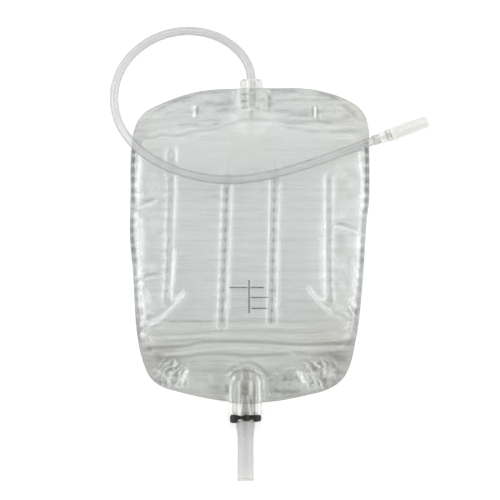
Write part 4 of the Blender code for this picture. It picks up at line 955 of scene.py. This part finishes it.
def swept(name, path, rings, sides, material, closed_section=True):
    """A tube along path. rings(t) gives the radii of its outer and inner walls at
    each share of the way; its two ends are closed by a ring of faces."""
    tangent = np.gradient(path, axis=0)
    tangent /= np.linalg.norm(tangent, axis=1)[:, None]
    up = np.array([0, 0, 1.0])
    side = np.cross(tangent, up)
    side /= np.linalg.norm(side, axis=1)[:, None]
    over = np.cross(side, tangent)
    t = np.linspace(0, 1, len(path))
    outer, inner = rings(t)
    angle = np.linspace(0, 2 * math.pi, sides, endpoint=False)
    spoke = np.cos(angle)[None, :, None] * side[:, None, :] + np.sin(angle)[None, :, None] * over[:, None, :]
    out = path[:, None, :] + spoke * outer[:, None, None]
    into = path[:, None, :] + spoke * inner[:, None, None]
    n, m = len(path), sides
    co = np.vstack([out.reshape(-1, 3), into.reshape(-1, 3)])
    i, j = np.meshgrid(np.arange(n - 1), np.arange(m), indexing="ij")
    i, j = i.ravel(), j.ravel()
    k = (j + 1) % m
    a, b, c, d = i * m + j, i * m + k, (i + 1) * m + k, (i + 1) * m + j
    skin = np.column_stack([a, b, c, d])
    bore = np.column_stack([d, c, b, a]) + n * m
    j = np.arange(m)
    k = (j + 1) % m
    start = np.column_stack([j, j + n * m, k + n * m, k])
    last = (n - 1) * m
    end = np.column_stack([k + last, k + last + n * m, j + last + n * m, j + last])
    faces = np.vstack([skin, bore, start, end])
    # turn the faces the right way out
    first = co[faces[0]]
    normal = np.cross(first[1] - first[0], first[2] - first[0])
    if normal @ (first.mean(0) - path[0]) < 0:
        faces = faces[:, ::-1]
    obj = mesh_object(name, co, faces, material)
    gone = np.concatenate([[0], np.cumsum(np.linalg.norm(np.diff(path, axis=0), axis=1))])
    obj.data.attributes.new("along", "FLOAT", "POINT").data.foreach_set("value", np.tile(np.repeat(gone, m), 2).astype(np.float32))
    obj.data.attributes.new("spin", "FLOAT", "POINT").data.foreach_set("value", np.tile(np.tile(angle, n), 2).astype(np.float32))
    return obj


def turned(name, profile, steps, origin, axis, material, section=None):
    """A closed shape turned about axis through origin. The profile is (radius, distance)
    in mm, a closed loop or one that begins and ends on the axis. section(angle, radius,
    distance) may return a new (x, y) for a point, in mm."""
    axis = Vector(axis).normalized()
    rotation = axis.to_track_quat("Z", "Y").to_matrix()
    shape = bmesh.new()
    rows = []
    for r, z in profile:
        if r == 0:
            rows.append([shape.verts.new((0, 0, z))])
        else:
            ring = []
            for s in range(steps):
                a = 2 * math.pi * s / steps
                x, y = (r * math.cos(a), r * math.sin(a)) if section is None else section(a, r, z)
                ring.append(shape.verts.new((x, y, z)))
            rows.append(ring)
    closed = not (profile[0][0] == 0 and profile[-1][0] == 0)
    pairs = list(zip(rows, rows[1:])) + ([(rows[-1], rows[0])] if closed else [])
    for a, b in pairs:
        for s in range(steps):
            t = (s + 1) % steps
            if len(a) == 1 and len(b) == 1:
                continue
            if len(a) == 1:
                shape.faces.new((a[0], b[t], b[s]))
            elif len(b) == 1:
                shape.faces.new((a[s], a[t], b[0]))
            else:
                shape.faces.new((a[s], a[t], b[t], b[s]))
    bmesh.ops.recalc_face_normals(shape, faces=shape.faces)
    mesh = bpy.data.meshes.new(name)
    shape.to_mesh(mesh)
    shape.free()
    for v in mesh.vertices:
        v.co = Vector(origin) + rotation @ (v.co * MM)
    mesh.shade_smooth()
    mesh.set_sharp_from_angle(angle=math.radians(35))
    mesh.materials.append(material)
    for title in ("painted_highlight", "deep"):
        mesh.attributes.new(title, "FLOAT", "POINT")
    obj = bpy.data.objects.new(name, mesh)
    bpy.context.scene.collection.objects.link(obj)
    return obj


def paint(obj, rule):
    """Set a piece's fields of painted highlight and of deep (painted shade and darker tone) from its own points, in
    metres.
    """
    mesh = obj.data
    co = np.empty(len(mesh.vertices) * 3)
    mesh.vertices.foreach_get("co", co)
    for title, values in zip(("painted_highlight", "deep"), rule(co.reshape(-1, 3))):
        mesh.attributes[title].data.foreach_set("value", np.clip(values, 0, 1).astype(np.float32))


# --------------------------------------------------------------- inlet tube
sides, rings = ((32, 420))
tube_path = even(TUBE_PATH, rings)
tube = swept(
    "inlet_tube_wall", tube_path,
    lambda t: (np.full(len(t), TUBE_R), np.full(len(t), BORE_R)), sides, TUBE_PVC,
)
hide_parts("inlet_tube")
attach(tube, "bag")
length = float(np.linalg.norm(np.diff(tube_path, axis=0), axis=1).sum())

def square_round(angle, a, b, power):
    """A point on a squared-off oval of half width a and half depth b."""
    c, t = math.cos(angle), math.sin(angle)
    return a * math.copysign(abs(c) ** (2 / power), c), b * math.copysign(abs(t) ** (2 / power), t)


def ease(t):
    t = min(max(t, 0.0), 1.0)
    return t * t * (3 - 2 * t)


def steps_between(points, step):
    """The profile with extra points, so that no stretch is longer than step."""
    out = []
    for (r1, z1), (r2, z2) in zip(points, points[1:]):
        count = max(1, int(math.ceil(math.hypot(r2 - r1, z2 - z1) / step)))
        out += [(r1 + (r2 - r1) * k / count, z1 + (z2 - z1) * k / count) for k in range(count)]
    return out + [points[-1]]


turns = 72

# ----------------------------------------------------------------- port
px, py = (float(v) for v in grid(PORT_X, PORT_TOP))
port_length = (PORT_END - PORT_TOP) * GRID / MM          # 24.3
tube_stop = (106.0 - PORT_TOP) * GRID / MM + 0.3
nipple = port_length + (NIPPLE_END - PORT_END) * GRID / MM


def port_section(angle, r, z):
    if r < 5.5:
        return r * math.cos(angle), r * math.sin(angle)
    ends = min(ease(z / 2.6), ease((port_length - z) / 2.2))
    bar = 0.5 + 0.5 * math.cos(2 * math.pi * (z - 8.6) / 5.4)
    grip = ease((z - 5.5) / 2.0)
    half = 6.9 + 1.6 * math.sqrt(ends)
    thick = 2.95 - grip * 1.15 * (1 - bar) - 0.5 * (1 - ends)
    x, y = square_round(angle, half, thick, 4.2)
    flat = math.hypot(x, y)
    # the round boss along the middle
    boss = 4.35
    a2 = math.atan2(y, x)
    reach = max(flat, boss)
    return reach * math.cos(a2), reach * math.sin(a2)


profile = steps_between([(8.0, 0.0), (8.0, port_length)], 0.55)
profile += [(3.0, port_length + 0.02)]
profile += steps_between([(3.0, port_length + 0.6), (3.0, nipple - 0.3)], 2.0)
profile += [(2.8, nipple), (1.9, nipple), (1.9, tube_stop + 1.2), (3.65, tube_stop + 0.2), (3.65, 0.3), (3.9, 0.0)]
port = turned("inlet_port_body", profile, turns, (px, py, PORT_Z), (0, -1, 0), PORT_PVC, port_section)


def port_paint(co):
    # painted highlights along the body, on the bars and at its end; painted shade in the hollows between the bars, down
    # the middle and round its base
    x = (co[:, 0] - px) / MM
    d = (py - co[:, 1]) / MM
    bar = 0.5 + 0.5 * np.cos(2 * np.pi * (d - 6.2) / 5.4)        # 1 in the hollows between the bars
    rows = bar ** 3 * eased((d - 6) / 2) * eased((23.6 - d) / 1)
    deep = rows * (hill(x + 6.0, 1.7) + hill(x - 0.7, 1.2) + 0.35 * hill(x - 6.2, 1.6)) * 0.9
    deep = deep + 0.16 * hill(x - 0.9, 0.9) * eased(d / 2) * eased((23 - d) / 3)
    deep = deep + 0.50 * (hill(np.abs(x) - 8.2, 0.9)) * eased((6.5 - d) / 2) + 0.50 * hill(d - 0.4, 0.9) * eased((np.abs(x) - 3.5) / 1)
    painted_highlight = 1.10 * hill(x + 2.7, 0.9) * eased(d / 3) * eased((24.6 - d) / 1) + 0.55 * hill(x + 8.6, 0.7) * eased((d - 6) / 3)
    painted_highlight = painted_highlight + (1 - bar) * 0.35 * eased((np.abs(x) - 3.8) / 1) * eased((d - 7) / 2) + 0.6 * hill(d - 23.6, 0.9) * eased((8.4 - np.abs(x)) / 1)
    return painted_highlight, deep


paint(port, port_paint)
# the nipple inside the bag is wet and thin walled, so it hardly shows
port.data.materials.append(NIPPLE_PVC)
for face in port.data.polygons:
    if (py - face.center.y) / MM > port_length + 0.05 or math.hypot(face.center.x - px, face.center.z - PORT_Z) / MM < 3.8:
        face.material_index = 1
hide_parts("inlet_port")
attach(port, "bag")

# ------------------------------------------------------ connector and cap
axis = Vector((math.cos(CONNECTOR_ANGLE), math.sin(CONNECTOR_ANGLE), 0))
start = Vector((*(float(v) for v in grid(*CONNECTOR)), CONNECTOR_Z))
bore = 1000 * float(np.linalg.norm(TUBE_PATH[-1][:2] - np.array(start[:2]))) + 0.3


def barrel_section(angle, r, z):
    rib = 0.10 * (0.5 + 0.5 * math.cos(12 * angle)) * ease((z - 1.5) / 1.5) * ease((9.8 - z) / 1.0) if r > 3.9 and z < 11 else 0.0
    return (r - rib) * math.cos(angle), (r - rib) * math.sin(angle)


profile = [
    (1.7, 43.0), (2.5, 43.0), (2.95, 34.4), (2.95, 34.0), (3.45, 33.9), (3.8, 23.9), (3.8, 23.5), (4.1, 23.4),
    (4.3, 14.5), (4.3, 14.2), (4.9, 14.1), (4.9, 12.9), (4.55, 12.75), (4.55, 12.2), (4.9, 12.05), (4.9, 11.4),
    (4.2, 11.1), (4.2, 10.4), (4.25, 10.0), (4.15, 4.5), (4.0, 1.2), (3.92, 0.15), (3.65, 0.0), (3.65, bore), (1.7, bore + 0.05),
]
profile = steps_between(profile, 1.4)
connector = turned("connector_moulding", profile, turns, start, axis, RIGID_2, barrel_section)


def on_axis(co):
    """How far along the connector's axis each point is, and how far off it, in mm."""
    r = co - np.array(start)
    along = r @ np.array(axis) / MM
    return along, r @ np.array([-axis[1], axis[0], 0]) / MM


def connector_paint(co):
    # painted shade at the collar's steps, along its sides and at its mouth; painted highlights down the barrel and at
    # the collar
    along, off = on_axis(co)
    deep = 0.55 * hill(along - 11.25, 0.55) + 0.35 * hill(along - 12.4, 0.5) + 0.5 * hill(along - 14.2, 0.35) * eased((1.5 - off) / 3)
    deep = deep + 0.25 * hill(np.abs(off) - 3.9, 0.5) * eased((11 - along) / 2) + 0.3 * hill(along - 0.2, 0.5)
    painted_highlight = 0.45 * hill(off - 1.1, 0.7) * eased((along - 1) / 2) * eased((10.4 - along) / 1) + 0.7 * hill(along - 13.5, 0.5)
    return painted_highlight, deep


def cap_paint(co):
    # painted shade along its sides, at its mouth and at its closed end; painted highlights down its length and at its
    # rim
    along, off = on_axis(co)
    side = np.abs(off - 0.1)
    deep = 0.46 * eased((side - 3.5) / 1.2) + 0.35 * hill(along - 17.6, 0.8) * eased((-off - 1) / 2) + 0.25 * hill(along - 16.9, 0.4)
    deep = deep + 0.35 * eased((along - 45.2) / 0.9)
    painted_highlight = 0.35 * hill(off - 0.4, 1.3) * eased((along - 18) / 4) + 0.6 * hill(along - 15.6, 0.9)
    return painted_highlight, deep


paint(connector, connector_paint)
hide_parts("tube_connector")
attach(connector, "bag")


def cap_section(angle, r, z):
    if r < 3.9 and z < 45.3:
        return r * math.cos(angle), r * math.sin(angle)
    flute = 0.16 * (0.5 + 0.5 * math.cos(14 * angle)) * ease((z - 17.5) / 2.0) * ease((44.0 - z) / 2.0)
    return (r - flute) * math.cos(angle), (r - flute) * math.sin(angle)


cap_profile = [
    (0.0, 46.2), (1.6, 46.17), (2.9, 46.06), (3.8, 45.7), (4.5, 45.1), (4.9, 44.2), (5.08, 42.6), (5.16, 36.0), (5.26, 26.0),
    (5.32, 17.6), (5.36, 17.2), (5.46, 16.9), (5.5, 16.5), (5.5, 15.0), (5.42, 14.7), (5.2, 14.55),
    (4.75, 14.58), (4.65, 14.8), (4.65, 18.0), (4.3, 27.0), (3.9, 36.0), (3.4, 43.8), (2.8, 45.05), (0.0, 45.25),
]
cap_profile = steps_between(cap_profile, 2.0)
cap = turned("connector_cap_moulding", cap_profile, turns, start, axis, CAP, cap_section)
paint(cap, cap_paint)
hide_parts("connector_cap")
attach(cap, "cap")

# ----------------------------------------------------------- outlet valve
ox, oy = (float(v) for v in grid(OUTLET_X, OUTLET_TOP))
outlet = (ox, oy, OUTLET_Z)
# With its axis down the outlet, a turned shape's x runs across the bag and its y to
# the front or the back; front is the sign that comes out on top.
spin = Vector((0, -1, 0)).to_track_quat("Z", "Y").to_matrix()
ACROSS = 1.0 if (spin @ Vector((1, 0, 0))).x > 0 else -1.0
FRONT = 1.0 if (spin @ Vector((0, 1, 0))).z > 0 else -1.0
HA, HB = HOUSING_A / MM, HOUSING_B / MM


def housing_section(angle, r, z):
    if r < 5.4:
        return r * math.cos(angle), r * math.sin(angle)
    x, y = square_round(angle, r, r * HB / HA, HOUSING_N)
    # shallow flutes down the front and the back, and a splayed pair of ridges
    body = ease((z - 9.0) / 5.0) * ease((36.0 - z) / 1.5)
    flute = 0.42 * (0.5 - 0.5 * math.cos(2 * math.pi * x / 3.9)) * body * ease((10.4 - abs(x)) / 1.6)
    if y * FRONT > 0:
        share = (z - 21.0) / 15.0
        reach = 1.4 + 2.6 * share
        ridge = math.exp(-(((abs(x) - reach) / 0.65) ** 2)) * ease(share * 4)
        flute = flute * (1 - ease(share * 4) * ease((6.2 - abs(x)) / 1.2)) - 0.05 * ridge
        flute += 0.85 * math.exp(-((x / max(0.5, 0.35 + 1.0 * share)) ** 2)) * ease(share * 3) * ease((37 - z) / 0.6)
    return x, y - math.copysign(flute, y) * min(1.0, abs(y) / 2.0)


shoulder = [(6.2 + (HA - 6.2) * math.sin(t), 3.1 + 8.4 * (1 - math.cos(t))) for t in np.linspace(0, math.pi / 2, 12)]
profile = [(5.6, 0.05), (6.0, 0.12), (6.2, 0.5)] + steps_between([(6.2, 0.5)] + shoulder + [(HA, 36.0)], 1.0)[1:]
profile += [(HA - 0.12, 36.6), (HA - 0.7, 37.0), (5.6, 37.0), (4.55, 37.0), (4.5, 36.8), (4.5, 36.05), (5.0, 35.95)]
profile += steps_between([(5.0, 35.5), (5.0, 12.7), (3.6, 12.6), (3.6, 7.7), (1.9, 7.6), (1.9, 0.05)], 2.5)
housing = turned("outlet_housing_moulding", profile, turns + 24, outlet, (0, -1, 0), RIGID, housing_section)


def housing_paint(co):
    # painted highlights: the edge lines, the splayed ridges, the streaks and the top; painted shade: the dark middle,
    # the band above the grip ring and dark streaks; both stronger on the upper face
    x = (co[:, 0] - ox) / MM
    d = (oy - co[:, 1]) / MM
    top = eased((co[:, 2] - OUTLET_Z) / MM / 2)
    share = np.clip((d - 21.5) / 14.5, 0, 1)
    fan = hill(np.abs(x + 0.2) - (1.6 + 2.4 * share), 0.55) * eased((d - 20.5) / 3)
    body = eased((d - 9) / 3)
    painted_highlight = 1.0 * (hill(x + 11.3, 0.8) + hill(x - 10.6, 1.0)) * eased((d - 8) / 4) + 0.80 * fan + 0.5 * hill(d - 0.8, 1.6)
    painted_highlight = painted_highlight + 0.90 * hill(x + 5.1, 1.2) * body + 0.92 * hill(x - 3.8, 1.3) * body * eased((26 - d) / 6)
    painted_highlight = painted_highlight + 0.8 * hill(x + 3.0, 1.0) * hill(d - 8.0, 3.2) + 0.75 * hill(x - 3.9, 0.9) * hill(d - 7.4, 2.2)
    painted_highlight = painted_highlight + 0.7 * hill(np.abs(x) - 9.2, 1.0) * hill(d - 8.4, 1.3) + 0.45 * hill(x + 7.4, 0.7) * eased((d - 10) / 4)
    painted_highlight = painted_highlight + 0.40 * hill(x - 8.0, 0.6) * eased((d - 9) / 4) + 0.35 * hill(x - 4.9, 0.6) * eased((d - 9) / 4) * eased((24 - d) / 6)
    deep = 0.50 * hill(x + 0.1, 0.8 + 0.9 * share) * eased((d - 19) / 6)
    deep = deep + 0.75 * eased((d - 33.6) / 2.6) * (hill(x + 7.6, 1.8) + hill(x - 7.6, 1.8) + hill(x, 1.4))
    deep = deep + 0.45 * (hill(x + 8.9, 0.9) + hill(x - 6.8, 1.0)) * body + 0.10 * hill(x - 0.2, 1.0) * eased((d - 7) / 4)
    deep = deep + 0.30 * hill(x - 9.3, 0.5) * body
    return painted_highlight * (0.35 + 0.65 * top), deep * (0.3 + 0.7 * top)


paint(housing, housing_paint)
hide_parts("outlet_housing")
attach(housing, "bag")


def grip_section(angle, r, z):
    """r runs from 1 at the round hole to 2 at the outer edge; z is the true height."""
    share = r - 1
    hole = 4.5
    gx, gy = square_round(angle, 12.1, 7.0, HOUSING_N)
    lump = max(math.exp(-(((gx * ACROSS - 0.9) / 3.4) ** 4)), math.exp(-(((abs(gx) - 9.0) / 3.5) ** 4)))
    gy *= 0.70 + 0.30 * lump
    return (1 - share) * hole * math.cos(angle) + share * gx, (1 - share) * hole * math.sin(angle) + share * gy


grip_profile = [
    (1.0, 37.5), (1.03, 37.35), (1.5, 37.3), (1.86, 37.3), (1.94, 37.5), (1.99, 38.0), (2.0, 38.6), (2.0, 40.4),
    (1.985, 41.0), (1.93, 41.4), (1.85, 41.5), (1.6, 41.5), (1.3, 41.5), (1.03, 41.45), (1.0, 41.3), (1.0, 39.4),
]
# the grip ring, its near black colour painted shade
grip = turned("grip_ring_moulding", grip_profile, turns + 24, (0, 0, 0), (0, 0, 1), GRIP_SHADE, grip_section)
for v in grip.data.vertices:
    x, y, z = v.co / MM
    lump = max(math.exp(-(((x * ACROSS - 0.9) / 3.3) ** 4)), math.exp(-(((abs(x) - 9.1) / 3.5) ** 6)))
    tall = (z - 37.3) / 4.2
    z += (1 - lump) * (1.7 * (1 - tall) - 1.2 * tall)
    z += (1.3 - 0.45 * ACROSS * x / 8) * ease((abs(x) - 5.6) / 2.0) * ease(tall * 1.6 - 0.6)
    v.co = Vector(outlet) + spin @ (Vector((x, y, z)) * MM)
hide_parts("grip_ring")
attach(grip, "valve")

drop = steps_between([(5.5, 42.12), (7.0, 42.1)], 0.6)[:-1] + steps_between(
    [(7.0, 42.1), (7.3, 42.3), (7.4, 42.7), (7.36, 44.6), (7.15, 47.0), (6.8, 49.6), (6.5, 52.0), (6.3, 54.6), (6.2, 57.0), (6.15, 62.0), (6.22, 70.0), (6.35, 79.0), (6.5, 87.4), (6.4, 87.75)], 2.0)
drop += steps_between([(4.6, 87.75), (4.5, 87.6), (4.5, 57.3), (5.3, 53.2), (5.55, 52.6), (5.55, 42.3)], 2.5)


def drop_section(angle, r, z):
    wave = 1 + 0.006 * math.sin(z * 0.55 + 1.3) * ease((z - 55) / 10)
    return r * wave * math.cos(angle), r * wave * math.sin(angle)


tail = turned("outlet_tube_wall", drop, turns, outlet, (0, -1, 0), MILKY, drop_section)


def tail_paint(co):
    # darker towards the top; painted shade along the sides and at the cut end, on the outer wall only
    x = (co[:, 0] - ox) / MM
    d = (oy - co[:, 1]) / MM
    outer = np.hypot(x, (co[:, 2] - OUTLET_Z) / MM) > 5.85
    deep = np.interp(d, [42, 47, 52.4, 53.6, 60, 74, 82, 87.8], [0.86, 0.74, 0.62, 0.72, 0.66, 0.62, 0.54, 0.48])
    deep = deep + 0.10 * hill(np.abs(x) - 6.1, 0.8) + 0.35 * hill(d - 87.5, 0.35) + 0.12 * hill(d - 43.0, 1.0)
    deep = deep * outer
    return 0 * deep, deep


paint(tail, tail_paint)
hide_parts("outlet_tube")
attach(tail, "valve")

# ------------------------------------------------------ CAD pieces that stay
for name, finish in (
    ("valve_leaf_front", LEAF_FILM), ("valve_leaf_back", LEAF_FILM),
    ("valve_plunger", STEM), ("head_seal_ring", SEAL), ("piston_seal_ring", SEAL),
):
    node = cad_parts[name]
    node.data.materials.clear()
    node.data.materials.append(finish)


# -------------------------------------------------------------- light, floor
def floor():
    mesh = bpy.data.meshes.new("floor")
    mesh.from_pydata([(-3, -3, -0.0002), (3, -3, -0.0002), (3, 3, -0.0002), (-3, 3, -0.0002)], [], [(0, 1, 2, 3)])
    made, n = new_material("floor_paper")
    n.out(n.add("ShaderNodeBsdfPrincipled", {"Base Color": (0.82, 0.82, 0.82, 1), "Roughness": 0.9, "Specular IOR Level": 0.1, "Emission Color": (1, 1, 1, 1), "Emission Strength": 0.335}).outputs[0])
    mesh.materials.append(made)
    obj = bpy.data.objects.new("floor", mesh)
    bpy.context.scene.collection.objects.link(obj)
    return obj


floor()


def lamp(name, place, target, size, power, colour=(1, 1, 1)):
    data = bpy.data.lights.new(name, "AREA")
    data.shape = "RECTANGLE"
    data.size, data.size_y = size
    data.energy = power * size[0] * size[1]
    data.color = colour
    obj = bpy.data.objects.new(name, data)
    obj.location = place
    aim = Vector(target) - Vector(place)
    obj.rotation_euler = aim.to_track_quat("-Z", "Y").to_euler()
    obj.visible_camera = False
    bpy.context.scene.collection.objects.link(obj)
    return obj


lamp("strip_left", (-0.95, 0.02, 0.52), (0, 0.02, 0), (1.0, 0.16), 9.0)
lamp("strip_right", (0.95, 0.02, 0.52), (0, 0.02, 0), (1.0, 0.16), 9.0)

# A soft studio: bright to the left and right, less bright behind, dim overhead.
world = bpy.data.worlds.new("studio")
bpy.context.scene.world = world
world.use_nodes = True
w = Nodes(world.node_tree)
world.node_tree.nodes.clear()
way = w.add("ShaderNodeTexCoord").outputs["Generated"]
across = w.math("POWER", w.math("ABSOLUTE", w.axis(way, 0)), 2.0)
behind = w.math("POWER", w.math("MAXIMUM", w.axis(way, 1), 0.0), 2.0)
ahead = w.math("POWER", w.math("MAXIMUM", w.math("MULTIPLY", w.axis(way, 1), -1.0), 0.0), 2.0)
power = w.math("MULTIPLY_ADD", across, 2.65, 0.18)
power = w.math("MULTIPLY_ADD", behind, 1.45, power)
power = w.math("MULTIPLY_ADD", ahead, 0.85, power)
power = w.math("MULTIPLY", power, w.ramp(w.axis(way, 2), 0.12, 0.37, 0.40, 1.0))
soft = w.add("ShaderNodeBackground", {"Color": (1.0, 1.0, 1.0, 1), "Strength": power})
plain = w.add("ShaderNodeBackground", {"Color": (0.95, 0.955, 0.96, 1), "Strength": 1.0})
seen = w.add("ShaderNodeLightPath").outputs["Is Camera Ray"]
w.add("ShaderNodeOutputWorld", {"Surface": w.mix(seen, soft, plain)})

scene = bpy.context.scene
scene.view_settings.view_transform = "Standard"
scene.view_settings.look = "None"
scene.view_settings.exposure = 0.0
scene.cycles.transparent_max_bounces = 32
